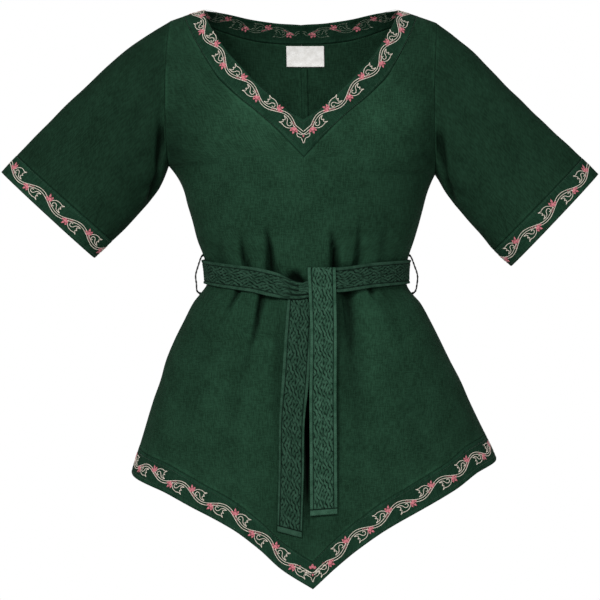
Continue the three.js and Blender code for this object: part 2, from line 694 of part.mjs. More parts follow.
// A point on the tunic at the waist, by angle round from the middle of the front
function waistPoint(angle, z, off) {
  const turned = ((angle % 360) + 360) % 360;
  const side = turned < 180 ? 1 : -1;
  const fromFront = side > 0 ? turned : 360 - turned;
  const face = fromFront <= 90 ? FRONT : BACK;
  const q = face === FRONT ? fromFront / 90 : (180 - fromFront) / 90;
  const point = bodyPoint(side, face, q, z, false);
  const radial = new THREE.Vector3(
    Math.sin(turned * DEGREE) * fullDepth[face](z),
    -Math.cos(turned * DEGREE) * baseWidth[SIDE_NAME[side]](z),
    0,
  ).normalize();
  return point.addScaledVector(radial, off);
}

function beltSheet(table, steps, across) {
  const curve = {};
  for (const key of ['z', 'width', 'off']) curve[key] = column(table, 'angle', key);
  const first = table[0].angle;
  const last = table[table.length - 1].angle;
  const sheet = newSheet();
  const pointAt = (i, j) => {
    const angle = lerp(first, last, j / steps);
    const level = curve.z(angle) + (i / across - 0.5) * curve.width(angle);
    return waistPoint(angle, level, curve.off(angle));
  };
  addGrid(sheet, across, steps, pointAt, (p) => new THREE.Vector3(p.x, p.y, 0));
  return sheet;
}

function buildBelt() {
  return wall(beltSheet(BELT, BELT_STEPS, 4), BELT_CLOTH, BELT_CLOTH);
}

function buildKnot() {
  const across = KNOT_PLEATS.length - 1;
  const steps = 8;
  const sheet = beltSheet(KNOT, steps, across);
  const thick = column(KNOT, 'angle', 'thick');
  const last = KNOT[KNOT.length - 1].angle;
  const angleAt = (i) => lerp(KNOT[0].angle, last, Math.floor(i / (across + 1)) / steps);
  const pleated = (i) => CLOTH + (thick(angleAt(i)) - CLOTH) * KNOT_PLEATS[i % (across + 1)];
  return wall(sheet, pleated, pleated);
}

// A point in front of the skirt, given by its offset from the middle, height and distance off
function skirtPoint(x, z, off) {
  const side = x < centreLine(z) ? -1 : 1;
  const q = roundTo(side, Math.abs(x - centreLine(z)), z);
  const point = bodyPoint(side, FRONT, q, z, false);
  return point.add(new THREE.Vector3(0, -off, 0));
}

function tailGrid(sheet, rows, across, middleAt, outward) {
  addGrid(sheet, across, rows, (i, j) => middleAt(i / across - 0.5, j), outward);
}

function tailCurves(table) {
  const curve = {};
  for (const key of ['x', 'width', 'off']) curve[key] = column(table, 'z', key);
  return curve;
}

// The wearer's right-hand end comes out from behind the belt and hangs on the skirt.
function buildHiddenTail() {
  const curve = tailCurves(HIDDEN_TAIL);
  const first = HIDDEN_TAIL[0].z;
  const last = HIDDEN_TAIL[HIDDEN_TAIL.length - 1].z;
  const sheet = newSheet();
  tailGrid(sheet, TAIL_STEPS, 3, (u, j) => {
    const t = j / TAIL_STEPS;
    const z = lerp(first, last, t);
    return skirtPoint(curve.x(z) + u * curve.width(z), z - u * HIDDEN_TAIL_SLANT * t, curve.off(z));
  }, () => new THREE.Vector3(0, -1, 0));
  return wall(sheet, BELT_CLOTH, BELT_CLOTH / 2);
}

// The other end is turned over the top of the belt and hangs in front of it.
function buildFrontTail() {
  const curve = tailCurves(FRONT_TAIL);
  const top = FRONT_TAIL[0];
  const last = FRONT_TAIL[FRONT_TAIL.length - 1].z;
  const radius = (top.off - TAIL_BACK_OFF) / 2;
  const backRows = 2;
  const rows = backRows + FOLD_STEPS + TAIL_STEPS;
  const sheet = newSheet();
  tailGrid(sheet, rows, 3, (u, j) => {
    const topX = top.x + u * top.width;
    if (j <= backRows) {
      const z = lerp(FRONT_TAIL_FOLD - TAIL_TUCK, FRONT_TAIL_FOLD, j / backRows);
      return skirtPoint(topX, z, TAIL_BACK_OFF);
    }
    if (j <= backRows + FOLD_STEPS) {
      const turn = (j - backRows) / FOLD_STEPS * Math.PI;
      const point = skirtPoint(topX, FRONT_TAIL_FOLD, TAIL_BACK_OFF + radius - radius * Math.cos(turn));
      return point.add(new THREE.Vector3(0, 0, radius * Math.sin(turn)));
    }
    const z = lerp(FRONT_TAIL_FOLD, last, ((j - backRows - FOLD_STEPS) / TAIL_STEPS) ** 1.15);
    const x = curve.x(z) + u * curve.width(z);
    return skirtPoint(x, z + u * FRONT_TAIL_SLANT, curve.off(Math.min(z, top.z)));
  }, () => new THREE.Vector3(0, -1, 0));
  return wall(sheet, BELT_CLOTH, BELT_CLOTH / 2);
}

// A thread loop stands off each side seam, and the belt runs through it.
function buildLoop(side) {
  const edge = (z) => centreLine(z) * side + edgeWidth(side, z);
  const path = new THREE.CatmullRomCurve3(
    LOOP_PATH.map(({ out, z }) => new THREE.Vector3(side * (edge(z) + out), 0, z)),
  );
  const round = new THREE.Shape();
  const sides = 8;
  for (let i = 0; i < sides; i += 1) {
    const turn = i / sides * 2 * Math.PI;
    const x = LOOP_RADIUS * Math.cos(turn);
    const y = LOOP_RADIUS * Math.sin(turn);
    if (i === 0) round.moveTo(x, y);
    else round.lineTo(x, y);
  }
  round.closePath();
  return new THREE.ExtrudeGeometry(round, { steps: 18, extrudePath: path });
}

// The woven label is sewn to the inside of the back, under the neck band.
function buildLabel() {
  const columns = 8;
  const rows = 4;
  const sheet = newSheet();
  addGrid(sheet, columns, rows, (i, j) => {
    const x = LABEL.middle + (i / columns - 0.5) * LABEL.width;
    const z = LABEL.top - LABEL.height * (1 - j / rows);
    const side = x < 0 ? -1 : 1;
    return bodyPoint(side, BACK, roundTo(side, Math.abs(x), z), z);
  }, () => new THREE.Vector3(0, 1, 0));
  return wall(sheet, LABEL.thick, -CLOTH - LABEL.inset);
}

const CLOTH_COLOUR = { color: 0x1f3a2c, roughness: 0.92, metalness: 0 };
const BAND_COLOUR = { color: 0x244232, roughness: 0.9, metalness: 0 };
const BELT_COLOUR = { color: 0x2c4a3a, roughness: 0.88, metalness: 0 };
const LABEL_COLOUR = { color: 0xe8e6e2, roughness: 0.6, metalness: 0 };
const THREAD_COLOUR = { color: 0x17261d, roughness: 0.8, metalness: 0 };

const tunic = new THREE.Group();
function add(name, geometry, finish) {
  const mesh = new THREE.Mesh(geometry, new THREE.MeshStandardMaterial(finish));
  mesh.name = name;
  tunic.add(mesh);
}

add('front', buildFront(), CLOTH_COLOUR);
add('back_left', buildBack(1), CLOTH_COLOUR);
add('back_right', buildBack(-1), CLOTH_COLOUR);
add('neck_band_front', buildNeckBand(FRONT, frontNeck, FRONT_ROWS.neck), BAND_COLOUR);
add('neck_band_back', buildNeckBand(BACK, backNeck, BACK_SEAM_COLUMNS), BAND_COLOUR);
add('hem_band_front', buildHemBand(FRONT, FRONT_COLUMNS), BAND_COLOUR);
add('hem_band_back', buildHemBand(BACK, BACK_COLUMNS), BAND_COLOUR);
const cuffStart = SLEEVE_CUFF_STATION + 2 * SEAM_GAP / SLEEVE_LENGTH;
for (const side of [1, -1]) {
  const name = SIDE_NAME[side];
  const sleeve = sleeveTube(side, 0, SLEEVE_CUFF_STATION, SLEEVE_ROWS, CLOTH, 0);
  add(`sleeve_${name}`, sleeve, CLOTH_COLOUR);
  add(`cuff_band_${name}`, sleeveTube(side, cuffStart, 1, 2, BAND_CLOTH, BAND_LIFT), BAND_COLOUR);
  add(`belt_loop_${name}`, buildLoop(side), THREAD_COLOUR);
}
add('belt_waist', buildBelt(), BELT_COLOUR);
add('belt_knot', buildKnot(), BELT_COLOUR);
add('belt_tail_right', buildHiddenTail(), BELT_COLOUR);
add('belt_tail_left', buildFrontTail(), BELT_COLOUR);
add('neck_label', buildLabel(), LABEL_COLOUR);

export default tunic;
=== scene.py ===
"""Looks of a dark green belted tunic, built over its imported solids.

The cloth follows the same form as the solids, at a finer grain. Its sizes are in millimetres, and
every point is turned into metres where a mesh is made. Z is up, the front faces -Y, and the
wearer's left is +X.
"""
import math

import bpy
import numpy as np
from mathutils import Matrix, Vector, kdtree


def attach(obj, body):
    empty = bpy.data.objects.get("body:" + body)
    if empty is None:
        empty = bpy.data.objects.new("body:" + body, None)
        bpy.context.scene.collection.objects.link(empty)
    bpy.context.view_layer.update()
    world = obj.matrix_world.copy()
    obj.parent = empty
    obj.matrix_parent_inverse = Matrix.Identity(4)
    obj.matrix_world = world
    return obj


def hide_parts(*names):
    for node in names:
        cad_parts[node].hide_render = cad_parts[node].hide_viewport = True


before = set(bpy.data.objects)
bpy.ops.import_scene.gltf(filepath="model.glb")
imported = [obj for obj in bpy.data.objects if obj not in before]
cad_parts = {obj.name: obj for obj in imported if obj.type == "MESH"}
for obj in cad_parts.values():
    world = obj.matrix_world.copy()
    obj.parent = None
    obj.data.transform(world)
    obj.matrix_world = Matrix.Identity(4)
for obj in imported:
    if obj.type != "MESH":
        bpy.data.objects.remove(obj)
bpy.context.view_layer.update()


# Studio
# A camera level with the middle of the tunic, five metres in front of it, before a white backdrop
# in a pale room. A soft light stands above it at the left and a weaker one at the right. The
# pale floor is far below.
CAMERA_PLACE = (-0.006, -5.0, -0.426)
CAMERA_LENS = 202.7
CAMERA_SENSOR = 36
CAMERA_FAR = 50
ROOM_STRENGTH = 0.42
BACKDROP_STRENGTH = 1.0
BACKDROP_START = 0.45
BACKDROP_FULL = 0.9
LIGHT_AIM = (0, 0, -0.4)
LIGHTS = (
    ("key_light", (-1.5, -3.0, 1.3), 0.9, 120),
    ("fill_light", (1.6, -3.2, 0.9), 1.2, 50),
)
FLOOR_HEIGHT = -1.42
FLOOR_REACH = 2.5
FLOOR_COLOUR = (0.86, 0.86, 0.85, 1)
FLOOR_ROUGHNESS = 0.8

scene = bpy.context.scene
scene.view_settings.view_transform = "Standard"


def add_object(name, data, place=(0, 0, 0)):
    made = bpy.data.objects.new(name, data)
    made.location = place
    scene.collection.objects.link(made)
    return made


def add_mesh(name, vertices, faces=()):
    """An object from points in metres and the faces between them, shaded smooth."""
    mesh = bpy.data.meshes.new(name)
    mesh.from_pydata(vertices, [], faces)
    mesh.polygons.foreach_set("use_smooth", [True] * len(mesh.polygons))
    return add_object(name, mesh)


def add_camera():
    data = bpy.data.cameras.new("camera")
    data.lens = CAMERA_LENS
    data.sensor_width = CAMERA_SENSOR
    data.clip_end = CAMERA_FAR
    camera = add_object("camera", data, CAMERA_PLACE)
    camera.rotation_euler = (math.pi / 2, 0, 0)
    scene.camera = camera


def add_room():
    """The backdrop behind the tunic is white, and the rest of the room is a softer grey."""
    world = bpy.data.worlds.new("studio")
    world.use_nodes = True
    room = world.node_tree
    direction = room.nodes.new("ShaderNodeTexCoord")
    split = room.nodes.new("ShaderNodeSeparateXYZ")
    behind = room.nodes.new("ShaderNodeMapRange")
    behind.interpolation_type = "SMOOTHSTEP"
    for index, value in enumerate((BACKDROP_START, BACKDROP_FULL, ROOM_STRENGTH, BACKDROP_STRENGTH)):
        behind.inputs[index + 1].default_value = value
    room.links.new(direction.outputs["Generated"], split.inputs[0])
    room.links.new(split.outputs["Y"], behind.inputs[0])
    room.links.new(behind.outputs[0], room.nodes["Background"].inputs["Strength"])
    room.nodes["Background"].inputs["Color"].default_value = (1, 1, 1, 1)
    scene.world = world


def add_area_light(name, place, size, power):
    data = bpy.data.lights.new(name, "AREA")
    data.shape = "SQUARE"
    data.size = size
    data.energy = power
    light = add_object(name, data, place)
    light.rotation_euler = (Vector(LIGHT_AIM) - Vector(place)).to_track_quat("-Z", "Y").to_euler()


def add_floor():
    corners = ((-1, -1), (1, -1), (1, 1), (-1, 1))
    vertices = [(x * FLOOR_REACH, y * FLOOR_REACH, FLOOR_HEIGHT) for x, y in corners]
    floor = add_mesh("floor", vertices, [(0, 1, 2, 3)])
    paint = bpy.data.materials.new("floor_paint")
    paint.use_nodes = True
    shader = paint.node_tree.nodes["Principled BSDF"]
    shader.inputs["Base Color"].default_value = FLOOR_COLOUR
    shader.inputs["Roughness"].default_value = FLOOR_ROUGHNESS
    floor.data.materials.append(paint)


add_camera()
add_room()
for light in LIGHTS:
    add_area_light(*light)
add_floor()


# Front
# One panel of dark green woven cotton, cut on the fold, with a V neck and a pointed hem.
# It hangs from the shoulder seams, and the belt gathers it at the waist.
MM = 0.001
DEGREE = math.pi / 180
FRONT = -1
BACK = 1
CLOTH = 1.5
SEAM_GAP = 0.06


def table(columns, *rows):
    return [dict(zip(columns.split(), row)) for row in rows]


SECTIONS = table(
    "z right left front back",
    (30, 188, 190, 100, 90),
    (-60, 188, 189, 114, 101),
    (-160, 186, 187, 128, 112),
    (-235, 181, 184, 129, 108),
    (-278, 175, 178, 121, 99),
    (-308, 167, 170, 114, 92),
    (-337, 160, 161, 108, 88),
    (-365, 150, 151, 104, 85),
    (-384, 147, 148, 103, 84),
    (-403, 147.5, 148.5, 103.5, 84.5),
    (-415, 156, 155, 106, 91),
    (-430, 168, 168, 110, 100),
    (-456, 182, 182, 117, 113),
    (-485, 197, 196, 123, 124),
    (-515, 210, 210, 129, 132),
    (-545, 219, 225, 134.5, 139),
    (-574, 230, 237, 139.5, 145),
    (-633, 249, 264, 147, 154),
    (-678, 264, 284, 152, 159),
    (-860, 323, 366, 168, 174),
)
ARMHOLES = {
    "right": {"tip": 193.5, "pit": 200.3, "pit_height": -228, "bow": 5},
    "left": {"tip": 201, "pit": 194, "pit_height": -240.5, "bow": -4},
}
ARMHOLE_DEPTH = 55
FLARE_HEIGHT = 50
FLARE_FALL = 2.2
OPEN_ANGLE_TOP = 60
OPEN_ANGLE_HEIGHT = 90
NECK_TOP = 22
SHOULDER_FALL = 28
SHOULDER_SPAN = 172
SHOULDER_ROUND = 110
HIP_HEIGHT = -470
BELT_FOOT = -403
WAIST_TOP = -310
HEM_BAND_RISE = 39
HEM_LAP = 0.5

FRONT_NECK = table(
    "edge_x edge_z seam_x seam_z",
    (0, -165, 0, -220),
    (23, -151, 44, -174),
    (48, -129, 70, -151),
    (68, -110, 90, -135),
    (86, -90, 108, -118),
    (106, -67, 126, -98),
    (124, -40, 148, -60),
    (137, -16, 165, -25),
    (146, 1.83, 174, -6.65),
)
HEM_RIGHT = table(
    "x z", (0, -840), (45, -812), (76, -784), (114, -756), (166, -729), (221, -702), (264, -678),
)
HEM_LEFT = table(
    "x z",
    (0, -840), (31, -812), (66, -784), (108, -756), (158, -729), (208, -702), (247, -676), (275.4, -658),
)
# Gathers under the belt: angle round from the middle of the panel, and the size of each fold.
# Each panel adds its own.
GATHERS = {
    FRONT: table(
        "angle peak up down width depth",
        (-36, -383, 62, 80, 9, 5),
        (-20, -392, 82, 170, 10, 8),
        (16, -384, 70, 60, 9, 6),
        (24, -398, 30, 200, 11, 7),
        (31, -380, 90, 45, 9, 6),
        (41, -398, 25, 55, 9, 4),
        (-60, -392, 50, 75, 11, 4),
        (62, -390, 60, 70, 11, 4),
    ),
}
# Creases in the front, from one end to the other, with half width and depth. A ridge has depth < 0.
FRONT_CREASES = table(
    "x0 z0 x1 z1 width depth",
    (-82, -380, -95, -322, 3.2, 9),
    (-46, -388, -54, -306, 3.6, 14),
    (-30, -370, -34, -312, 7, -2.6),
    (-7.5, -410, -6, -378, 12, 19),
    (42, -384, 41, -312, 3.6, 13),
    (73, -382, 84, -296, 3.4, 8),
    (58, -368, 62, -308, 7, -2.6),
    (112, -370, 126, -308, 7, 3.4),
    (-118, -370, -134, -308, 7, 3.4),
    (-94, -408, -122, -460, 3.4, 8.5),
    (-57, -412, -84, -520, 4.0, 11),
    (-34, -424, -48, -540, 8, -2.4),
    (62, -406, 66, -520, 5.0, 7),
    (69, -470, 76, -740, 12, 4),
    (93, -402, 104, -430, 3.4, 9),
    (118, -410, 152, -530, 9, 3.4),
    (-38, -424, -45, -720, 8, 4.5),
    (56, -424, 60, -720, 8, 4),
    (5, -500, 3, -735, 6.5, 16),
    (-84, -520, -120, -760, 16, 3),
    (130, -500, 178, -700, 18, 2.6),
    (-150, -470, -192, -700, 18, 2.6),
    (-190, -205, -120, -232, 8, 3),
    (-186, -188, -130, -190, 7, 2),
    (182, -215, 118, -240, 8, 3),
    (178, -196, 124, -198, 7, 2),
    (-108, -108, -88, -260, 16, -2.4),
    (112, -108, 96, -260, 16, -2.2),
)
# Painted highlights and painted shade on the cloth: light on the chest and a hip, shade under the arms,
# between and beside the belt ends and low in the middle: middle, half sizes and gain
PAINTED_LIGHT_SPOTS = (
    (-84, -158, 52, 50, 0.30),
    (118, -156, 50, 50, 0.38),
    (0, -240, 70, 70, 0.06),
    (-120, -560, 90, 120, 0.02),
    (0, -760, 120, 60, -0.12),
    (-196, -190, 22, 45, -0.30),
    (196, -195, 22, 45, -0.30),
    (4, -600, 7, 70, -0.75),
    (3, -700, 6, 45, -0.75),
    (48, -540, 6, 170, -0.30),
    (105, -480, 55, 60, 0.25),
    (-30, -470, 6, 60, -0.20),
    (-40, -640, 6, 120, -0.15),
)
FRONT_ZONES = (("skirt", 84), ("hip", 24), ("waist", 34), ("chest", 28))
FRONT_NECK_STEPS = 56
FRONT_COLUMNS = 84
FRONT_SLACK = 0.4
CREASE_SWAY = 0.4
INNER_SIDE_WIDTH = 0.65
OUTER_SIDE_WIDTH = 1.3
DEEP_CREASE = 10.5
BELT_MIDDLE = -392
BELT_CALM = 32
RIM_ROLL = 0.35
TUNIC_THREAD = 0.00085
CLOTH_SHINE = 0.03


def lerp(a, b, t):
    return a + (b - a) * t


def smooth_step(t):
    t = np.clip(t, 0, 1)
    return t * t * (3 - 2 * t)


def curve_through(rows, key, value):
    """A smooth curve through one column of a table, over another column that rises or falls."""
    rows = sorted(rows, key=lambda row: row[key])
    at = np.array([row[key] for row in rows], float)
    size = np.array([row[value] for row in rows], float)
    count = len(rows)
    before = np.maximum(np.arange(count) - 1, 0)
    after = np.minimum(np.arange(count) + 1, count - 1)
    slope = (size[after] - size[before]) / (at[after] - at[before])

    def value_at(where):
        where = np.asarray(where, float)
        i = np.clip(np.searchsorted(at, where) - 1, 0, count - 2)
        span = at[i + 1] - at[i]
        along = (where - at[i]) / span
        t = np.clip(along, 0, 1)
        rise = smooth_step(t)
        bend = span * (slope[i] * t * (1 - t) ** 2 - slope[i + 1] * t * t * (1 - t))
        past = span * (slope[i] * np.minimum(along, 0) + slope[i + 1] * np.maximum(along - 1, 0))
        return size[i] * (1 - rise) + size[i + 1] * rise + bend + past

    return value_at


def even_curve(values):
    rows = [{"at": i / (len(values) - 1), "value": value} for i, value in enumerate(values)]
    return curve_through(rows, "at", "value")


base_right = curve_through(SECTIONS, "z", "right")
base_left = curve_through(SECTIONS, "z", "left")
full_depth = {FRONT: curve_through(SECTIONS, "z", "front"), BACK: curve_through(SECTIONS, "z", "back")}


def hand_of(w):
    """1 on the wearer's left of the middle, and -1 on the right."""
    return np.where(np.asarray(w) < 0, -1, 1)


def by_hand(hand, right, left):
    return np.where(np.asarray(hand) > 0, left, right)


def base_width(hand, z):
    return by_hand(hand, base_right(z), base_left(z))


def arm(hand, key):
    return by_hand(hand, ARMHOLES["right"][key], ARMHOLES["left"][key])


def centre_line(z):
    return -5 - 0.021 * z


def shoulder_top(x):
    return NECK_TOP - SHOULDER_FALL * (x / SHOULDER_SPAN) ** 2


def drop_of(turn):
    rounded = SHOULDER_ROUND * (1 - np.cos(turn))
    return np.where(turn < np.pi / 2, rounded, SHOULDER_ROUND * (1 + turn - np.pi / 2))


def turn_of(drop):
    rounded = np.arccos(np.clip(1 - drop / SHOULDER_ROUND, -1, 1))
    return np.where(drop < SHOULDER_ROUND, rounded, np.pi / 2 + drop / SHOULDER_ROUND - 1)


def armhole_level(hand, z):
    tip = shoulder_top(arm(hand, "tip"))
    pit = arm(hand, "pit_height")
    return np.clip((z - (tip + pit) / 2) / ((tip - pit) / 2), -1, 1)


def edge_width(hand, z):
    level = armhole_level(hand, z)
    pit = arm(hand, "pit")
    pit_height = arm(hand, "pit_height")
    above = lerp(pit, arm(hand, "tip"), (level + 1) / 2) + arm(hand, "bow") * (1 - level**2)
    fall = np.clip((pit_height - z) / FLARE_HEIGHT, 0, 1)
    below = base_width(hand, z) + (pit - base_width(hand, pit_height)) * (1 - fall) ** FLARE_FALL
    return np.where(z > pit_height, above, below)


def armhole_depth(hand, x, z):
    pit = arm(hand, "pit_height")
    fall = shoulder_top(x) - shoulder_top(edge_width(hand, z))
    share = np.clip((z - pit) / (shoulder_top(arm(hand, "tip")) - pit), 0, 1)
    lowered = z - fall * share
    round_in = ARMHOLE_DEPTH * np.sqrt(1 - armhole_level(hand, lowered) ** 2)
    return np.where(lowered > pit, round_in, 0)


def open_angle(hand, z):
    t = np.clip((z - arm(hand, "pit_height")) / OPEN_ANGLE_HEIGHT, 0, 1)
    return lerp(90, OPEN_ANGLE_TOP, smooth_step(t)) * DEGREE


def reach(hand, part, z):
    spread = open_angle(hand, z)
    base = base_width(hand, z)
    return base * np.sin(part * spread) / np.sin(spread) + (edge_width(hand, z) - base) * part**5


def part_at(hand, x, z):
    """The part of the way round to the side at which the form is x from the centre line."""
    low = np.zeros(np.broadcast(hand, x, z).shape)
    high = np.ones_like(low)
    for _ in range(32):
        middle = (low + high) / 2
        short = reach(hand, middle, z) < x
        low = np.where(short, middle, low)
        high = np.where(short, high, middle)
    return (low + high) / 2


def way_round(x, z):
    """How far round to the seams, from -1 to 1, a place lies that is x from the centre line."""
    hand = hand_of(x)
    return hand * part_at(hand, np.abs(x), z)


def gather_depth(face, w, z):
    scale = base_width(hand_of(w), z) * DEGREE
    total = np.zeros(np.broadcast(w, z).shape)
    for fold in GATHERS[face]:
        run = np.where(z > fold["peak"], fold["up"], fold["down"])
        along = np.minimum(np.abs(z - fold["peak"]) / run, 1)
        across = (w * 90 - fold["angle"]) * scale / fold["width"]
        total = total + fold["depth"] * np.cos(along * np.pi / 2) ** 2 * np.exp(-(across**2))
    return total


def body_point(face, w, z, gathered=True):
    """A point of the outer face: w is -1 at the wearer's right seam and 1 at the left seam."""
    w, z = np.broadcast_arrays(np.asarray(w, float), np.asarray(z, float))
    hand = hand_of(w)
    part = np.abs(w)
    x = reach(hand, part, z)
    spread = open_angle(hand, z)
    turn = turn_of(np.maximum(shoulder_top(x) - z, 0))
    crown = full_depth[face](z) * np.sin(np.minimum(turn, np.pi / 2))
    edge = armhole_depth(hand, x, z)
    swell = (np.cos(part * spread) - np.cos(spread)) / (1 - np.cos(spread))
    depth = edge + (crown - edge) * swell
    if gathered:
        depth = depth - gather_depth(face, w, z) * np.minimum(1, swell * 4)
    return np.stack([centre_line(z) + hand * x, face * (SEAM_GAP / 2 + depth), z], axis=-1)


def height_at(w, turn):
    """The height at which a turn round the shoulder is reached, w of the way round."""
    hand = hand_of(w)
    z = NECK_TOP - drop_of(turn)
    for _ in range(8):
        z = shoulder_top(reach(hand, np.abs(w), z)) - drop_of(turn)
    return z


def unit(vectors):
    return vectors / np.maximum(np.linalg.norm(vectors, axis=-1, keepdims=True), 1e-9)


def body_normal(face, w, z):
    w, z = np.broadcast_arrays(np.asarray(w, float), np.asarray(z, float))
    step = 2e-3
    x = reach(hand_of(w), np.abs(w), z)
    turn = turn_of(np.maximum(shoulder_top(x) - z, 0))

    def moved(sideways, down):
        part = np.clip(w + sideways, -1, 1)
        return body_point(face, part, height_at(part, np.maximum(turn + down, 0)))

    across = moved(step, 0) - moved(-step, 0)
    up = moved(0, -step) - moved(0, step)
    return unit(np.cross(across, up)) * -face


def hem_curve(hand, rows):
    last = len(rows) - 1
    parts = [float(part_at(hand, row["x"], row["z"])) for row in rows]
    parts[last] = 1
    joined = [{"part": part, "z": row["z"]} for part, row in zip(parts, rows)]
    return curve_through(joined, "part", "z")


hem_right = hem_curve(-1, HEM_RIGHT)
hem_left = hem_curve(1, HEM_LEFT)


def hem_height(w):
    return by_hand(hand_of(w), hem_right(np.abs(w)), hem_left(np.abs(w)))


def level_turn(w, inner_z, outer_z):
    hand = hand_of(w)
    inner = turn_of(shoulder_top(0) - inner_z)
    outer = turn_of(shoulder_top(edge_width(hand, outer_z)) - outer_z)
    return lerp(inner, outer, np.abs(w))


def low_height(zone, w, t, pit_level):
    """Heights of a row of points below the armpits, t of the way up a zone."""
    waist_turn = level_turn(w, WAIST_TOP, WAIST_TOP)
    if zone == "skirt":
        return lerp(hem_height(w) + HEM_BAND_RISE - HEM_LAP, HIP_HEIGHT, t)
    if zone == "hip":
        return lerp(HIP_HEIGHT, BELT_FOOT, t) + 0 * w
    if zone == "waist":
        return lerp(BELT_FOOT, height_at(w, waist_turn), t)
    hand = hand_of(w)
    pit_turn = level_turn(w, pit_level, arm(hand, "pit_height"))
    return height_at(w, lerp(waist_turn, pit_turn, t))


def neck_curves(rows):
    curves = {}
    for line in ("edge", "seam"):
        xs = [row[f"{line}_x"] for row in rows]
        falls = [shoulder_top(x) - row[f"{line}_z"] for x, row in zip(xs, rows)]
        turns = [float(turn_of(np.maximum(fall, 0))) for fall in falls]
        curves[f"{line}_x"] = even_curve(xs)
        curves[f"{line}_turn"] = even_curve(turns[:-1] + [0])
    return curves


front_neck = neck_curves(FRONT_NECK)


def outer_turn(hand, t):
    """The turn at the armhole, t of the way from the underarm to the shoulder."""
    z = lerp(arm(hand, "pit_height"), shoulder_top(arm(hand, "tip")), (1 - np.cos(np.pi * t)) / 2)
    return turn_of(np.maximum(shoulder_top(edge_width(hand, z)) - z, 0))


def front_neck_zone(hand, a, t):
    x = front_neck["seam_x"](t)
    inner_turn = front_neck["seam_turn"](t)
    inner = part_at(hand, x, shoulder_top(x) - drop_of(inner_turn))
    w = hand * (inner + (1 - inner) * a)
    return w, height_at(w, lerp(inner_turn, outer_turn(hand, t), a))


def crease_depth(creases, x, z):
    """How far creases sink the cloth at x and z. Each is widest and deepest at its first end."""
    total = np.zeros(np.broadcast(x, z).shape)
    for crease in creases:
        run_x = crease["x1"] - crease["x0"]
        run_z = crease["z1"] - crease["z0"]
        length = math.hypot(run_x, run_z)
        along = ((x - crease["x0"]) * run_x + (z - crease["z0"]) * run_z) / length**2
        sway = CREASE_SWAY * crease["width"] * np.sin(along * 4 + crease["x0"])
        across = ((x - crease["x0"]) * run_z - (z - crease["z0"]) * run_x) / length + sway
        fade = smooth_step((along + 0.2) / 0.2) * smooth_step((1.1 - along) / 0.9)
        # The side towards the middle of the garment turns in more sharply.
        inner_side = across * np.sign(crease["x0"]) * np.sign(run_z) < 0
        side_width = np.where(inner_side, INNER_SIDE_WIDTH, OUTER_SIDE_WIDTH)
        width = crease["width"] * np.clip(1.45 - 0.9 * along, 0.5, 1.5) * side_width
        total = total + crease["depth"] * fade * np.exp(-((across / width) ** 2))
    return total


def slack(x, z, seed):
    """Small unevenness of washed cloth, in millimetres."""
    return (
        0.35 * np.sin(x * 0.061 + seed) * np.sin(z * 0.037 + 2 * seed)
        + 0.25 * np.sin(x * 0.13 - z * 0.05 + 3 * seed)
        + 0.2 * np.sin(z * 0.11 + x * 0.03 + 5 * seed)
    )


def steps_with_edges(count, near_start=True, near_end=True):
    """Even steps from 0 to 1, with one more step close to each end that is a raw edge."""
    steps = np.linspace(0, 1, count + 1)
    close = 0.25 / count
    if near_start:
        steps = np.insert(steps, 1, close)
    if near_end:
        steps = np.insert(steps, -1, 1 - close)
    return steps


def body_grid(face, w, z, creases, seed):
    """Points and normals of a panel, sunk by its creases and slack, which fade out at its seams."""
    points = body_point(face, w, z)
    normals = body_normal(face, w, z)
    x = points[..., 0]
    from_side = 1 - np.abs(w)
    from_top = shoulder_top(np.abs(x - centre_line(z))) - z
    calm = np.clip(from_side * 8, 0, 1) * np.clip(from_top / 25, 0, 1)
    under_belt = smooth_step(1.9 - np.abs(z - BELT_MIDDLE) / BELT_CALM)
    sunk = crease_depth(creases, x, z) + slack(x, z, seed) * (1 - under_belt)
    # Along the side and shoulder seams the wall's edge lies in the plane in which the panels meet.
    at_side = np.where(z < arm(hand_of(w), "pit_height") + 1, np.clip(from_side / 0.03, 0, 1), 1)
    at_seam = at_side * np.clip(from_top / 0.6, 0, 1)
    normals = unit(normals * np.stack([1 + 0 * z, at_seam, 1 + 0 * z], -1))
    return points - normals * (sunk * calm)[..., None], normals


def quads_of(points, normals, start):
    """The quads of one grid, turned so that they face along its normals."""
    rows, columns = points.shape[:2]
    first = start + np.arange(rows - 1)[:, None] * columns + np.arange(columns - 1)[None, :]
    quads = np.stack([first, first + 1, first + columns + 1, first + columns], axis=-1).reshape(-1, 4)
    across = points[1:, 1:] - points[:-1, :-1]
    up = points[1:, :-1] - points[:-1, 1:]
    facing = np.sum(np.cross(across, up) * normals[:-1, :-1])
    return quads if facing > 0 else quads[:, ::-1]


def joined(grids):
    """Grids of points and normals as one sheet of quads, in which points at one place are one."""
    points = np.concatenate([grid[0].reshape(-1, 3) for grid in grids])
    normals = np.concatenate([grid[1].reshape(-1, 3) for grid in grids])
    quads = []
    start = 0
    for sheet, outward in grids:
        quads.append(quads_of(sheet, outward, start))
        start += sheet[..., 0].size
    places = np.round(points * 200).astype(np.int64)
    _, first, same = np.unique(places, axis=0, return_index=True, return_inverse=True)
    quads = same.reshape(-1)[np.concatenate(quads)]
    quads = quads[[len(set(quad)) == 4 for quad in quads.tolist()]]
    return points[first], normals[first], quads, first


def rim_of(quads):
    """The edges that only one quad has."""
    edges = {(a, b): True for quad in quads.tolist() for a, b in zip(quad, quad[1:] + quad[:1])}
    return [(a, b) for a, b in edges if (b, a) not in edges]


def distance_to_rim(points, rim):
    tree = kdtree.KDTree(len(rim))
    for index, (a, _) in enumerate(rim):
        tree.insert(points[a], index)
    tree.balance()
    return np.array([tree.find(point)[2] for point in points])


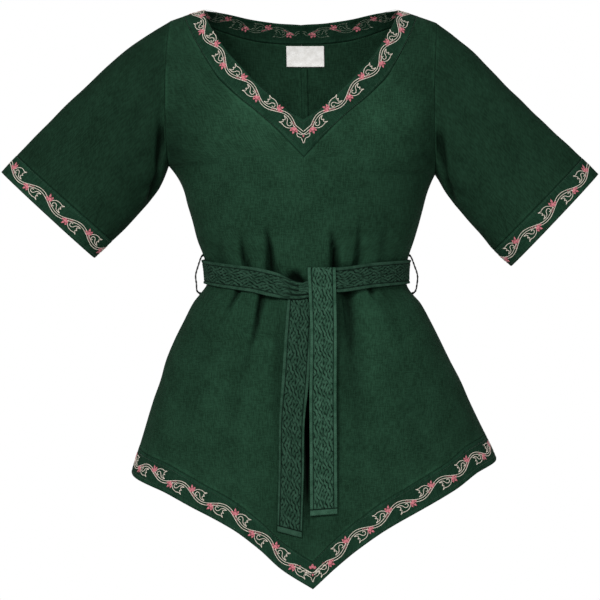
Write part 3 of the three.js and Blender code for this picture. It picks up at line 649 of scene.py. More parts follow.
def make_shell(name, grids, thickness, lift=0.0, marks=None):
    """A closed wall of cloth from grids of points and outward normals, in millimetres.

    The outer face is moved out by lift, and the rim is rounded in by a share of the thickness.
    Marks are further values at the points, kept as attributes with the distance to the rim.
    """
    points, normals, quads, first = joined(grids)
    rim = rim_of(quads)
    on_rim = np.zeros(len(points), bool)
    on_rim[[a for a, _ in rim]] = True

    def at_points(value):
        spread = [np.broadcast_to(value, grid[0].shape[:2]).reshape(-1) for grid in grids]
        return np.concatenate(spread)[first]

    depth = at_points(thickness)
    lift = at_points(lift)
    outer = points + normals * (lift - np.where(on_rim, RIM_ROLL * depth, 0))[:, None]
    inner = points + normals * (lift - depth + np.where(on_rim, RIM_ROLL / 2 * depth, 0))[:, None]
    vertices = np.concatenate([outer, inner]) * MM
    count = len(points)
    faces = quads.tolist() + (quads[:, ::-1] + count).tolist()
    faces += [(b, a, a + count, b + count) for a, b in rim]
    piece = add_mesh(name, vertices.tolist(), faces)
    values = {"from_rim": distance_to_rim(points, rim) * MM}
    for key, mark in (marks or {}).items():
        values[key] = np.concatenate([np.asarray(row, float).reshape(-1) for row in mark])[first]
    for key, value in values.items():
        layer = piece.data.attributes.new(key, "FLOAT", "POINT")
        layer.data.foreach_set("value", np.tile(value, 2).astype(np.float32))
    piece.data.validate()
    return piece


def run_along(line):
    """How far each point of a line is from its start, along the line."""
    return np.concatenate([[0], np.cumsum(np.linalg.norm(np.diff(line, axis=0), axis=-1))])


def points_at(at, run, line):
    """The points of a line at some distances along it."""
    return np.stack([np.interp(at, run, line[:, i]) for i in range(line.shape[1])], axis=-1)


def grain_marks(points):
    """Places on the cloth in metres: along the weft, and up the warp."""
    run = np.linalg.norm(np.diff(points, axis=1), axis=-1)
    weft = np.concatenate([np.zeros((len(points), 1)), np.cumsum(run, axis=1)], axis=1)
    middle = points.shape[1] // 2
    return (weft - weft[:, middle:middle + 1] + points[:, middle:middle + 1, 0]) * MM, points[..., 2] * MM


class Value:
    """A node's output that can stand in a sum, which then adds the Math nodes that work it out."""

    def __init__(self, nodes, socket):
        self.nodes = nodes
        self.socket = socket

    def math(self, operation, *others):
        return self.nodes.add("ShaderNodeMath", {"operation": operation}, dict(enumerate((self, *others))))

    def __add__(self, other):
        return self.math("ADD", other)

    def __mul__(self, other):
        return self.math("MULTIPLY", other)

    def __rsub__(self, other):
        return self.nodes.add("ShaderNodeMath", {"operation": "SUBTRACT"}, {0: other, 1: self})

    __radd__ = __add__
    __rmul__ = __mul__

    def ramp(self, low, high, start=0.0, end=1.0):
        settings = {"interpolation_type": "SMOOTHSTEP"}
        return self.nodes.add("ShaderNodeMapRange", settings, {0: self, 1: low, 2: high, 3: start, 4: end})


class Nodes:
    """Adds nodes to a tree: a node's type, its settings, and the values or links of its sockets."""

    def __init__(self, tree):
        self.tree = tree

    def feed(self, node, sockets):
        for key, value in sockets.items():
            if isinstance(value, Value):
                self.tree.links.new(value.socket, node.inputs[key])
            else:
                node.inputs[key].default_value = value

    def add(self, kind, settings=None, sockets=None, output=0):
        node = self.tree.nodes.new(kind)
        for key, value in (settings or {}).items():
            setattr(node, key, value)
        self.feed(node, sockets or {})
        return Value(self, node.outputs[output])

    def mix(self, factor, first, second):
        settings = {"data_type": "RGBA", "clamp_factor": True}
        return self.add("ShaderNodeMix", settings, {0: factor, 6: first, 7: second}, output=2)

    def attribute(self, name):
        return self.add("ShaderNodeAttribute", {"attribute_name": name}, output=2)

    def noise(self, place, scale, detail=2.0, roughness=0.5):
        sockets = {"Vector": place, "Scale": scale, "Detail": detail, "Roughness": roughness}
        return self.add("ShaderNodeTexNoise", {}, sockets)

    def bump(self, strength, height):
        return self.add("ShaderNodeBump", {}, {"Strength": strength, "Distance": 1.0, "Height": height})


def new_material(name):
    material = bpy.data.materials.new(name)
    material.use_nodes = True
    nodes = Nodes(material.node_tree)
    shader = material.node_tree.nodes["Principled BSDF"]
    return material, nodes, shader


def linear(*colour):
    """A colour as it shows on a screen, from 0 to 1, turned into the linear light that nodes use."""
    return tuple(c / 12.92 if c <= 0.04045 else ((c + 0.055) / 1.055) ** 2.4 for c in colour) + (1,)


def place_on_cloth(nodes):
    """How far a point lies along the weft and up the warp, in metres, and both as one vector."""
    weft = nodes.attribute("weft")
    warp = nodes.attribute("warp")
    return weft, warp, nodes.add("ShaderNodeCombineXYZ", {}, {0: weft, 1: warp, 2: 0.0})


def thread_wave(run, pitch):
    """A wave that rises once for each thread."""
    return (run * (2 * math.pi / pitch)).math("SINE")


def with_painted_light_shade(nodes, colour):
    # Scales a colour by the painted light and shade mark: painted highlights above 0, painted shade below.
    shade = 1 + nodes.attribute("painted_light_shade")
    return nodes.add("ShaderNodeVectorMath", {"operation": "SCALE"}, {0: colour, "Scale": shade})


def woven_cloth(name, dark, light):
    """Garment-dyed plain weave: mottled, with faint streaks both ways and paler rubbed seams, with painted
    shade at the rims and painted light and shade from the painted_light_shade mark.
    """
    material, nodes, shader = new_material(name)
    weft, warp, place = place_on_cloth(nodes)
    upright = nodes.add("ShaderNodeVectorMath", {"operation": "MULTIPLY"}, {0: place, 1: (1.0, 0.14, 1.0)})
    level = nodes.add("ShaderNodeVectorMath", {"operation": "MULTIPLY"}, {0: place, 1: (0.2, 1.0, 1.0)})
    mottle = nodes.noise(place, 24.0, 4.0, 0.6)
    streaks = nodes.noise(upright, 620.0) * 0.58 + nodes.noise(level, 560.0) * 0.42
    slubs = nodes.noise(place, 900.0, 1.0)
    tone = mottle.ramp(0.3, 0.7) * 0.3 + streaks.ramp(0.4, 0.6) * 0.5 + slubs * 0.2
    cloth = nodes.mix(tone, linear(*dark), linear(*light))
    # The seams are rubbed pale a little way in. Right at the rim of each piece, where two pieces meet, the
    # colour is painted dark as shade in the crevice.
    from_rim = nodes.attribute("from_rim")
    rubbed = from_rim.ramp(0.0008, 0.0022) * from_rim.ramp(0.0075, 0.002)
    rub = rubbed * mottle.ramp(0.35, 0.65) * 0.16
    paler = nodes.mix(rub, cloth, linear(*(c * 1.5 for c in light)))
    crevice = from_rim.ramp(0.0012, 0.0, 0.0, 0.3)
    rubbed_and_shaded = nodes.mix(crevice, paler, linear(*(c * 0.5 for c in dark)))
    weave = thread_wave(weft, TUNIC_THREAD) * thread_wave(warp, TUNIC_THREAD)
    relief = weave * 0.5 + slubs * 0.8 + streaks * 1.6
    height = relief * 0.00014 + nodes.noise(place, 160.0) * rubbed * 0.0010
    nodes.feed(shader, {
        "Base Color": with_painted_light_shade(nodes, rubbed_and_shaded),
        "Roughness": 0.84 + streaks * 0.12,
        "Normal": nodes.bump(0.6, height),
        "Specular IOR Level": CLOTH_SHINE,
    })
    return material


tunic_cloth = woven_cloth("tunic_cloth", (0.054, 0.128, 0.084), (0.114, 0.222, 0.162))


def dress(piece, material, *solids):
    """Gives a piece its material, fixes it to the tunic, and hides the solids it stands for."""
    piece.data.materials.append(material)
    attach(piece, "root")
    # Blender adds .001 to a material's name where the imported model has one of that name.
    if solids:
        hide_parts(*solids)


def dress_sheet(piece, material, flat, area, held, rests_on, *solids):
    dress(piece, material, *solids)


def painted_light_shade_at(points, ahead):
    """How much lighter or darker the cloth is painted: painted highlights and shade from the spots, painted
    shade towards the sides and, in front, in the creases.
    """
    x = points[..., 0]
    z = points[..., 2]
    painted_light_shade = np.zeros(x.shape)
    for spot_x, spot_z, wide, high, gain in PAINTED_LIGHT_SPOTS:
        painted_light_shade += gain * np.exp(-(((x - spot_x) / wide) ** 2) - ((z - spot_z) / high) ** 2)
    across = np.abs(x - centre_line(z)) / base_width(1, z)
    # Painted shade towards the sides.
    painted_light_shade = painted_light_shade - 0.1 * smooth_step((across - 0.5) / 0.5)
    # In front, painted shade also darkens the creases.
    if ahead:
        painted_light_shade = painted_light_shade - 0.82 * smooth_step(crease_depth(FRONT_CREASES, x, z) / DEEP_CREASE)
    return painted_light_shade


def panel_marks(grids):
    """The marks of each grid of a panel in turn, as make_shell keeps them."""
    marks = [grain_marks(grid[0]) for grid in grids]
    painted_light_shade = [painted_light_shade_at(grid[0], grid[0][..., 1].mean() < 0) for grid in grids]
    return {"weft": [mark[0] for mark in marks], "warp": [mark[1] for mark in marks], "painted_light_shade": painted_light_shade}


def front_grids():
    grids = []
    a = steps_with_edges(FRONT_COLUMNS, near_start=False)[None, :]
    w = np.concatenate([-a[:, ::-1], a[:, 1:]], axis=1)
    for zone, count in FRONT_ZONES:
        t = steps_with_edges(count, zone == "skirt", False)[:, None]
        z = low_height(zone, w, t, FRONT_NECK[0]["seam_z"])
        grids.append(body_grid(FRONT, w + 0 * t, z, FRONT_CREASES, FRONT_SLACK))
    t = steps_with_edges(FRONT_NECK_STEPS, near_start=False)[:, None]
    for hand in (-1, 1):
        side_w, z = front_neck_zone(hand, a, t)
        grids.append(body_grid(FRONT, side_w, z, FRONT_CREASES, FRONT_SLACK))
    return grids


front_sheets = front_grids()
front = make_shell("front_panel", front_sheets, CLOTH, marks=panel_marks(front_sheets))
dress_sheet(front, tunic_cloth, (0.62, 0.80), 0.300, "hung", ["neck_band_front"], "front")


# Back
# Two panels of the same cotton, sewn together down the middle of the back with a plain pressed
# seam. They hang from the shoulder seams, and the belt gathers them as it does the front.
BACK_NECK = table(
    "edge_x edge_z seam_x seam_z",
    (0, -13, 0, -40.5),
    (40, -10.5, 32, -40),
    (81, -5, 72, -36),
    (118, 1.4, 108, -27),
    (136, 2.6, 140, -15),
    (146, 1.83, 174, -6.65),
)
GATHERS[BACK] = table(
    "angle peak up down width depth",
    (-52, -386, 58, 90, 12, 5),
    (-33, -390, 86, 150, 12, 7),
    (-13, -384, 64, 120, 11, 6),
    (11, -392, 78, 190, 12, 7),
    (29, -386, 60, 100, 11, 5),
    (49, -390, 80, 140, 12, 6),
)
BACK_CREASES = table(
    "x0 z0 x1 z1 width depth",
    (-108, -366, -122, -318, 6, 2.6),
    (-70, -366, -76, -290, 6, 4.0),
    (-28, -366, -30, -306, 5, 3.4),
    (22, -366, 26, -280, 6, 4.2),
    (66, -366, 72, -312, 5, 3.2),
    (104, -366, 120, -308, 6, 2.8),
    (-84, -422, -104, -520, 6, 3.2),
    (-34, -422, -38, -560, 6, 4.0),
    (30, -422, 36, -600, 7, 3.8),
    (72, -422, 92, -500, 6, 3.0),
    (-60, -520, -76, -720, 15, 2.4),
    (70, -520, 96, -700, 15, 2.2),
    (4, -600, 6, -780, 13, 1.8),
    (-186, -205, -112, -236, 9, 1.8),
    (184, -214, 112, -244, 9, 1.8),
    (-60, -70, -20, -250, 20, -1.4),
    (64, -70, 26, -250, 20, -1.4),
)
BACK_PIT_LEVEL = -228
BACK_ZONES = (("skirt", 62), ("hip", 16), ("waist", 26), ("chest", 22))
BACK_NECK_STEPS = 48
BACK_COLUMNS = 44
BACK_CORNER = 9 / 11
BACK_SEAM_FADE = 4
BACK_SLACK = 1.7

back_neck = neck_curves(BACK_NECK)


def back_neck_zone(hand, a, t):
    along = np.minimum(a / BACK_CORNER, 1)
    x = back_neck["seam_x"](along)
    seam_turn = back_neck["seam_turn"](along)
    seam_part = part_at(hand, x, shoulder_top(x) - drop_of(seam_turn))
    before = a <= BACK_CORNER + 1e-9
    top_part = np.where(before, seam_part, lerp(seam_part, 1, (a - BACK_CORNER) / (1 - BACK_CORNER)))
    pit_height = arm(hand, "pit_height")
    pit_turn = level_turn(hand, BACK_PIT_LEVEL, pit_height)
    rise = lerp(np.sin(t * np.pi / 2), 1 - outer_turn(hand, t) / pit_turn, a**3)
    turn = lerp(level_turn(hand * a, BACK_PIT_LEVEL, pit_height), np.where(before, seam_turn, 0), rise)
    w = hand * lerp(a, top_part, t)
    return w, height_at(w, turn)


def back_half(hand):
    grids = []
    a = steps_with_edges(BACK_COLUMNS)[None, :]

    def add(w, z):
        points, normals = body_grid(BACK, w, z, BACK_CREASES, BACK_SLACK)
        points[..., 0] += hand * SEAM_GAP / 2 * np.maximum(0, 1 - a * BACK_SEAM_FADE)
        grids.append((points, normals))

    for zone, count in BACK_ZONES:
        t = steps_with_edges(count, zone == "skirt", False)[:, None]
        add(hand * a + 0 * t, low_height(zone, hand * a, t, BACK_PIT_LEVEL))
    t = steps_with_edges(BACK_NECK_STEPS, near_start=False)[:, None]
    add(*back_neck_zone(hand, a, t))
    return grids


for hand, side, area in ((1, "left", 0.163), (-1, "right", 0.166)):
    sheets = back_half(hand)
    panel = make_shell(f"back_panel_{side}", sheets, CLOTH, marks=panel_marks(sheets))
    dress_sheet(panel, tunic_cloth, (0.315, 0.80), area, "hung", ["neck_band_back"], f"back_{side}")


# Back seam allowance
# Inside, the raw edges of the middle seam are oversewn together and pressed to one side. They
# show as a narrow ridge through the neck opening.
ALLOWANCE_WIDTH = 10
ALLOWANCE_ASIDE = 1.5
ALLOWANCE_ROWS = 300
ALLOWANCE_TOP = -76
ALLOWANCE_FOOT = -790
ALLOWANCE_CLOTH = 1.2
ALLOWANCE_OFF = CLOTH + 0.25


def allowance_grid():
    x = steps_with_edges(8)[None, :] * ALLOWANCE_WIDTH - ALLOWANCE_ASIDE
    z = np.linspace(ALLOWANCE_TOP, ALLOWANCE_FOOT, ALLOWANCE_ROWS)[:, None]
    x, z = np.broadcast_arrays(x, z)
    middle = x + centre_line(z)
    w = way_round(x, z)
    points = body_point(BACK, w, z)
    normals = body_normal(BACK, w, z)
    ripple = 0.12 * np.sin(z * 1.9) * np.sin(middle * 0.4)
    sunk = crease_depth(BACK_CREASES, points[..., 0], z) + slack(points[..., 0], z, BACK_SLACK)
    return points - normals * (sunk + ALLOWANCE_OFF + ripple)[..., None], normals


allowance_sheet = allowance_grid()
allowance_weft, allowance_warp = grain_marks(allowance_sheet[0])
allowance = make_shell("back_seam_allowance", [allowance_sheet], ALLOWANCE_CLOTH,
                       marks={"weft": allowance_weft, "warp": allowance_warp})
dress(allowance, tunic_cloth)


# Sleeves
# A short set-in sleeve on each side, cut in one piece, sewn into the armhole and closed under
# the arm. It flares a little towards the cuff and keeps the round form of the shoulder.
SLEEVES = {
    "right": table(
        "top_x top_z low_x low_z depth",
        (0, 0, 0, 0, 55),
        (257, -51, 215, -262, 58),
        (314, -101, 240, -293, 57),
        (370, -155, 262, -318, 54),
        (425.5, -212, 284, -338.5, 51),
        (448.4, -236.8, 310.8, -364, 49),
    ),
    "left": table(
        "top_x top_z low_x low_z depth",
        (0, 0, 0, 0, 55),
        (243, -52, 209, -266, 58),
        (296, -105, 231, -294, 57),
        (352, -160, 256, -323, 54),
        (412, -216, 281, -352, 51),
        (435.9, -239.8, 307, -376, 49),
    ),
}
SLEEVE_FOLDS = table(
    "angle at width length depth",
    (62, 0.2, 16, 0.16, 5),
    (120, 0.12, 20, 0.2, 6),
    (-100, 0.25, 22, 0.22, 5),
    (-48, 0.4, 18, 0.2, 4),
)
# Creases over the sleeve, from one end to the other: angle round from the top, and place along
SLEEVE_CREASES = table(
    "angle0 at0 angle1 at1 width depth",
    (148, 0.15, 112, 0.04, 11, 9),
    (146, 0.14, 176, 0.32, 11, 8),
    (128, 0.20, 96, 0.10, 14, -2.5),
    (70, 0.04, 100, 0.34, 8, 1.6),
    (128, 0.10, 104, 0.52, 10, 1.4),
    (158, 0.14, 140, 0.44, 6, 1.6),
    (40, 0.20, 52, 0.62, 12, -1.2),
    (-70, 0.05, -120, 0.30, 9, 2.0),
    (-130, 0.10, -100, 0.50, 11, 1.6),
    (-40, 0.12, -50, 0.60, 12, -1.2),
    (-160, 0.12, -150, 0.4, 7, 1.6),
)
CUFF_STATION = 0.8
SLEEVE_LENGTH = 250
SLEEVE_DEGREE = 1.3
SLEEVE_SLACK = 2.3
THREAD_MM = 0.85
ARMHOLE_LAP = 0.5
# Painted shade over the whole of each sleeve, darker than the panels.
SLEEVE_PAINTED_SHADE = {"right": -0.37, "left": -0.25}
SLEEVE_AROUND = 132
SLEEVE_STEPS = 76


def sleeve_curves(hand):
    side = "left" if hand > 0 else "right"
    hole = ARMHOLES[side]
    tip = shoulder_top(hole["tip"])
    first = {
        "top_x": hole["tip"] + hand * centre_line(tip),
        "top_z": tip,
        "low_x": hole["pit"] + hand * centre_line(hole["pit_height"]),
        "low_z": hole["pit_height"],
        "depth": ARMHOLE_DEPTH,
    }
    rows = [first] + SLEEVES[side][1:]
    return {key: even_curve([row[key] for row in rows]) for key in first}


sleeve_shape = {hand: sleeve_curves(hand) for hand in (-1, 1)}


def sleeve_point(hand, around, s):
    """A point on a sleeve: around is the angle from its top, front positive, and s runs to the cuff."""
    curves = sleeve_shape[hand]
    around, s = np.broadcast_arrays(around, s)
    cos = np.cos(around)
    sin = np.sin(around)
    bow = arm(hand, "bow") * (1 - cos * cos) * np.maximum(0, 1 - 3 * s) ** 2
    depth = curves["depth"](s) * sin
    fade = np.minimum(1, s * 20)
    for fold in SLEEVE_FOLDS:
        off = around - fold["angle"] * DEGREE
        across = np.arctan2(np.sin(off), np.cos(off)) / DEGREE / fold["width"]
        along = (s - fold["at"]) / fold["length"]
        depth = depth - np.sign(sin) * fade * fold["depth"] * np.exp(-(across**2) - along**2)
    level = (1 + cos) / 2
    x = lerp(curves["low_x"](s), curves["top_x"](s), level) + bow - ARMHOLE_LAP
    return np.stack([hand * x, -depth, lerp(curves["low_z"](s), curves["top_z"](s), level)], axis=-1)


def sleeve_normal(hand, around, s):
    step = 1e-3
    across = sleeve_point(hand, around + step, s) - sleeve_point(hand, around - step, s)
    along = sleeve_point(hand, around, s + step) - sleeve_point(hand, around, np.maximum(s - step, 0))
    return unit(np.cross(across, along)) * hand * -1


def sleeve_crease_depth(around, s):
    total = np.zeros(np.broadcast(around, s).shape)
    for crease in SLEEVE_CREASES:
        run_x = (crease["angle1"] - crease["angle0"]) * SLEEVE_DEGREE
        run_y = (crease["at1"] - crease["at0"]) * SLEEVE_LENGTH
        length = np.linalg.norm((run_x, run_y))
        x = (np.mod(around / DEGREE - crease["angle0"] + 180, 360) - 180) * SLEEVE_DEGREE
        y = (s - crease["at0"]) * SLEEVE_LENGTH
        along = (x * run_x + y * run_y) / length**2
        across = (x * run_y - y * run_x) / length
        taper = np.minimum(along + 0.15, 1.15 - along) / 0.5
        total = total + crease["depth"] * smooth_step(taper) * np.exp(-((across / crease["width"]) ** 2))
    return total


def sleeve_grid(hand, around, s):
    points = sleeve_point(hand, around, s)
    normals = sleeve_normal(hand, around, s)
    inward = np.sum(normals[:, :, [1, 2]] * (points - points.mean(axis=1, keepdims=True))[:, :, [1, 2]])
    normals = normals if inward > 0 else -normals
    at_hole = np.clip(s / 0.015, 0, 1) + 0 * around
    normals = unit(normals * np.stack([at_hole, 1 + 0 * at_hole, 1 + 0 * at_hole], -1))
    calm = smooth_step(s / 0.06) * smooth_step((0.86 - s) / 0.16)
    uneven = slack(points[..., 0], points[..., 2] + 9 * np.sin(around), SLEEVE_SLACK)
    sunk = (sleeve_crease_depth(around, s) + uneven) * calm
    return points - normals * sunk[..., None], normals


def sleeve_marks(points):
    steps = np.linalg.norm(np.diff(points, axis=0), axis=-1)
    run = np.concatenate([np.zeros((1, points.shape[1])), np.cumsum(steps, axis=0)])
    # The length round the arm is rounded to whole threads, so that the weave meets under the arm.
    girth = np.linalg.norm(np.diff(points[len(points) // 2], axis=0), axis=-1).sum()
    round_arm = np.linspace(0, round(girth / THREAD_MM) * THREAD_MM, points.shape[1])[None, :]
    return (round_arm + 0 * run) * MM, run * MM


sleeve_around = np.linspace(0, 2 * np.pi, SLEEVE_AROUND + 1)[None, :]
sleeve_stations = (CUFF_STATION * steps_with_edges(SLEEVE_STEPS))[:, None]
# Painted shade darkens the folds of the sleeves.
sleeve_fold_shade = 0.4 * smooth_step(sleeve_crease_depth(sleeve_around, sleeve_stations) / 8)
for hand, side in ((1, "left"), (-1, "right")):
    grid = sleeve_grid(hand, sleeve_around, sleeve_stations)
    weft, warp = sleeve_marks(grid[0])
    marks = {"weft": weft, "warp": warp, "painted_light_shade": SLEEVE_PAINTED_SHADE[side] - sleeve_fold_shade}
    sleeve = make_shell(f"sleeve_cloth_{side}", [grid], CLOTH, marks=marks)
    rests_on = ["front_panel", f"back_panel_{side}"]
    dress_sheet(sleeve, tunic_cloth, (0.47, 0.26), 0.098, "hung", rests_on, f"sleeve_{side}")


# Bands
# Strips of the same cotton, doubled and topstitched over the raw edges: round the neck with a
# mitre at the V, round both cuffs, and along the pointed hem of the front and of the back.
BAND_CLOTH = 2.2
BAND_LIFT = 0.3
BAND_WIDTH = 32
NECK_SEAM_GAP = 0.06
BAND_ROWS = 9
BAND_END = 0.9975
# How much of its width each kind of band fills, up to the narrow gap at its seam
BAND_FULL = {
    "neck": 1 - NECK_SEAM_GAP / BAND_WIDTH,
    "hem": 1 - SEAM_GAP / BAND_WIDTH,
    "cuff": 1 - 2 * SEAM_GAP / (SLEEVE_LENGTH * (1 - CUFF_STATION)),
}
BANDS = table(
    "place side columns length width area under",
    ("neck", "front", 181, 0.58, 0.033, 0.019, "front_panel"),
    ("neck", "back", 121, 0.37, 0.032, 0.0116, "back_panel_left"),
    ("hem", "front", 221, 0.79, 0.036, 0.028, "front_panel"),
    ("hem", "back", 221, 0.79, 0.036, 0.028, "back_panel_left"),
    ("cuff", "left", 133, 0.47, 0.033, 0.0155, "sleeve_cloth_left"),
    ("cuff", "right", 133, 0.47, 0.033, 0.0155, "sleeve_cloth_right"),
)

band_cloth = woven_cloth("band_cloth", (0.044, 0.120, 0.080), (0.098, 0.200, 0.146))


def neck_band_point(face, curves, s, t):
    """A point of a neck band: s is -1 and 1 at the shoulders, t runs from the free edge to the seam."""
    s, t = np.broadcast_arrays(np.asarray(s, float), np.asarray(t, float))
    hand = hand_of(s)
    along = np.abs(s)
    x = lerp(curves["edge_x"](along), curves["seam_x"](along), t)
    turn = np.maximum(lerp(curves["edge_turn"](along), curves["seam_turn"](along), t), 0)
    z = shoulder_top(x) - drop_of(turn)
    return body_point(face, hand * part_at(hand, x, z), z)


def hem_band_point(face, s, t):
    low = hem_height(s)
    return body_point(face, s, lerp(low, low + HEM_BAND_RISE, t))


def cuff_band_point(hand, s, t):
    return sleeve_point(hand, s * 2 * np.pi, lerp(1, CUFF_STATION, t))


def band_normal(band_point, outward, s, t):
    step = 2e-3
    ahead = band_point(s + step, t) - band_point(s - step, t)
    across = band_point(s, t + step) - band_point(s, t - step)
    normals = unit(np.cross(ahead, across))
    points = band_point(s, t)
    return normals * np.sign(np.sum(normals * outward(points)))


def from_middle(face):
    return lambda points: points * 0 + (0, face, 0)


def from_arm(points):
    return points - points.reshape(-1, 3).mean(axis=0)


def band_form(place, side):
    """Two functions of a band: its points, and the way out of the tunic at them."""
    if place == "cuff":
        hand = 1 if side == "left" else -1
        return (lambda s, t: cuff_band_point(hand, s, t)), from_arm
    face = FRONT if side == "front" else BACK
    if place == "hem":
        return (lambda s, t: hem_band_point(face, s, t)), from_middle(face)
    curves = front_neck if face == FRONT else back_neck
    return (lambda s, t: neck_band_point(face, curves, s, t)), from_middle(face)


def make_band(band):
    place = band["place"]
    side = band["side"]
    closed = place == "cuff"
    band_point, outward = band_form(place, side)
    s = np.linspace(0 if closed else -1, 1, band["columns"])
    t = steps_with_edges(BAND_ROWS) * BAND_FULL[place]
    s, t = np.broadcast_arrays(s[None, :], t[:, None])
    points = band_point(s, t)
    along = run_along(points[BAND_ROWS // 2])
    if closed:
        normals = band_normal(band_point, outward, s, t)
        along = along * round(along[-1] / THREAD_MM) * THREAD_MM / along[-1]
    else:
        normals = band_normal(band_point, outward, np.clip(s, -BAND_END, BAND_END), t)
        at_seam = np.clip((1 - np.abs(s)) / 0.004, 0, 1)
        normals = unit(normals * np.stack([1 + 0 * s, at_seam, 1 + 0 * s], -1))
    weft = along[None, :] * MM + 0 * t
    wavy = 0.18 * np.sin(weft * 610) + 0.14 * np.sin(weft * 1130 + 2)
    swell = BAND_LIFT + wavy * np.sin(np.pi * t) - 0.1
    marks = {"weft": weft, "warp": t * BAND_WIDTH * MM}
    name = f"{place}_cloth_{side}" if closed else f"{place}_band_cloth_{side}"
    piece = make_shell(name, [(points, normals)], BAND_CLOTH, swell, marks)
    flat = (band["length"], band["width"])
    dress_sheet(piece, band_cloth, flat, band["area"], "hung", [band["under"]], f"{place}_band_{side}")


for band in BANDS:
    make_band(band)


# Stitches
# Thread is what holds the pieces together and decorates them. Each visible stitch is a small
# bead of thread, laid along its line, as long and as wide as the machine makes it.
STITCH_SIDES = 5
STITCH_RINGS = 3
END_GAP = 0.8


def stitch_tree():
    tree = bpy.data.node_groups.new("stitches", "GeometryNodeTree")
    sockets = {}
    kinds = {"Places": "Geometry", "Unevenness": "Float", "Seed": "Int", "Thread": "Material"}
    for name, kind in kinds.items():
        socket = tree.interface.new_socket(name, in_out="INPUT", socket_type=f"NodeSocket{kind}")
        sockets[name] = socket.identifier
    tree.interface.new_socket("Stitches", in_out="OUTPUT", socket_type="NodeSocketGeometry")
    nodes = Nodes(tree)
    group = tree.nodes.new("NodeGroupInput")
    places, uneven, seed, thread = (Value(nodes, group.outputs[i]) for i in range(4))
    vector = {"data_type": "FLOAT_VECTOR"}
    along, out, size = (
        nodes.add("GeometryNodeInputNamedAttribute", vector, {"Name": name})
        for name in ("along", "out", "size")
    )
    laid = nodes.add("FunctionNodeAlignRotationToVector", {"axis": "X"}, {"Vector": along})
    settings = {"axis": "Z", "pivot_axis": "X"}
    turned = nodes.add("FunctionNodeAlignRotationToVector", settings, {"Rotation": laid, "Vector": out})
    varied = nodes.add("FunctionNodeRandomValue", vector, {0: 1 - uneven, 1: 1 + uneven, 8: seed})
    scale = nodes.add("ShaderNodeVectorMath", {"operation": "MULTIPLY"}, {0: size, 1: varied})
    sphere = {"Segments": STITCH_SIDES, "Rings": STITCH_RINGS, "Radius": 0.5}
    bead = nodes.add("GeometryNodeMeshUVSphere", {}, sphere)
    parts = {"Points": places, "Instance": bead, "Rotation": turned, "Scale": scale}
    placed = nodes.add("GeometryNodeInstanceOnPoints", {}, parts)
    shades = {2: 0.0, 3: 1.0, 8: seed + 1}
    tint = nodes.add("FunctionNodeRandomValue", {"data_type": "FLOAT"}, shades, output=1)
    store = {"data_type": "FLOAT", "domain": "INSTANCE"}
    parts = {"Geometry": placed, "Name": "tint", "Value": tint}
    tinted = nodes.add("GeometryNodeStoreNamedAttribute", store, parts)
    real = nodes.add("GeometryNodeRealizeInstances", {}, {"Geometry": tinted})
    smooth = nodes.add("GeometryNodeSetShadeSmooth", {}, {"Geometry": real})
    finished = nodes.add("GeometryNodeSetMaterial", {}, {"Geometry": smooth, "Material": thread})
    tree.links.new(finished.socket, tree.nodes.new("NodeGroupOutput").inputs[0])
    return tree, sockets


stitches_tree, stitch_sockets = stitch_tree()


def sew(name, ends, outs, width, height, thread, seed, unevenness=0.08):
    """Makes one piece of stitches from pairs of ends and the directions out of the cloth, in mm."""
    along = ends[:, 1] - ends[:, 0]
    length = np.linalg.norm(along, axis=1)
    piece = add_mesh(name, (ends.mean(axis=1) * MM).tolist())
    size = np.stack([length, width + 0 * length, height + 0 * length], axis=-1) * MM
    for key, value in (("along", unit(along)), ("out", outs), ("size", size)):
        layer = piece.data.attributes.new(key, "FLOAT_VECTOR", "POINT")
        layer.data.foreach_set("vector", value.astype(np.float32).reshape(-1))
    modifier = piece.modifiers.new("stitches", "NODES")
    modifier.node_group = stitches_tree
    modifier[stitch_sockets["Unevenness"]] = unevenness
    modifier[stitch_sockets["Seed"]] = seed
    modifier[stitch_sockets["Thread"]] = thread
    graph = bpy.context.evaluated_depsgraph_get()
    made = bpy.data.meshes.new_from_object(
        piece.evaluated_get(graph), preserve_all_data_layers=True, depsgraph=graph
    )
    piece.modifiers.clear()
    piece.data = made
    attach(piece, "root")


def thread_material(name, colour, lighter, rough, shine):
    material, nodes, shader = new_material(name)
    tint = nodes.attribute("tint")
    place = nodes.add("ShaderNodeTexCoord", output=3)
    fibres = nodes.noise(place, 2600.0)
    tone = tint * 0.6 + fibres.ramp(0.3, 0.7) * 0.4
    nodes.feed(shader, {
        "Base Color": nodes.mix(tone, linear(*colour), linear(*lighter)),
        "Roughness": rough,
        "Normal": nodes.bump(0.4, fibres * 0.0002),
        "Specular IOR Level": shine,
        "Sheen Weight": 0.1,
    })
    return material


def band_ruler(band_point, outward, first, last):
    """Turns distances along and across a band, in mm from its middle line, into places on it."""
    s = np.linspace(first, last, 1201)
    line = band_point(s, 0.5 + 0 * s)
    run = run_along(line)
    ahead = unit(np.gradient(line, axis=0))
    across = (band_point(s, 0.75 + 0 * s) - band_point(s, 0.25 + 0 * s)) * 2
    skew = np.sum(across * ahead, axis=1)
    rise = np.linalg.norm(across - skew[:, None] * ahead, axis=1)

    def place(u, v):
        part = v / np.interp(u, run, rise)
        moved = np.clip(u - part * np.interp(u, run, skew), 0, run[-1])
        at = np.interp(moved, run, s)
        t = 0.5 + part
        normals = band_normal(band_point, outward, np.clip(at, -BAND_END, BAND_END), t)
        return band_point(at, t), normals

    return place, run[-1]


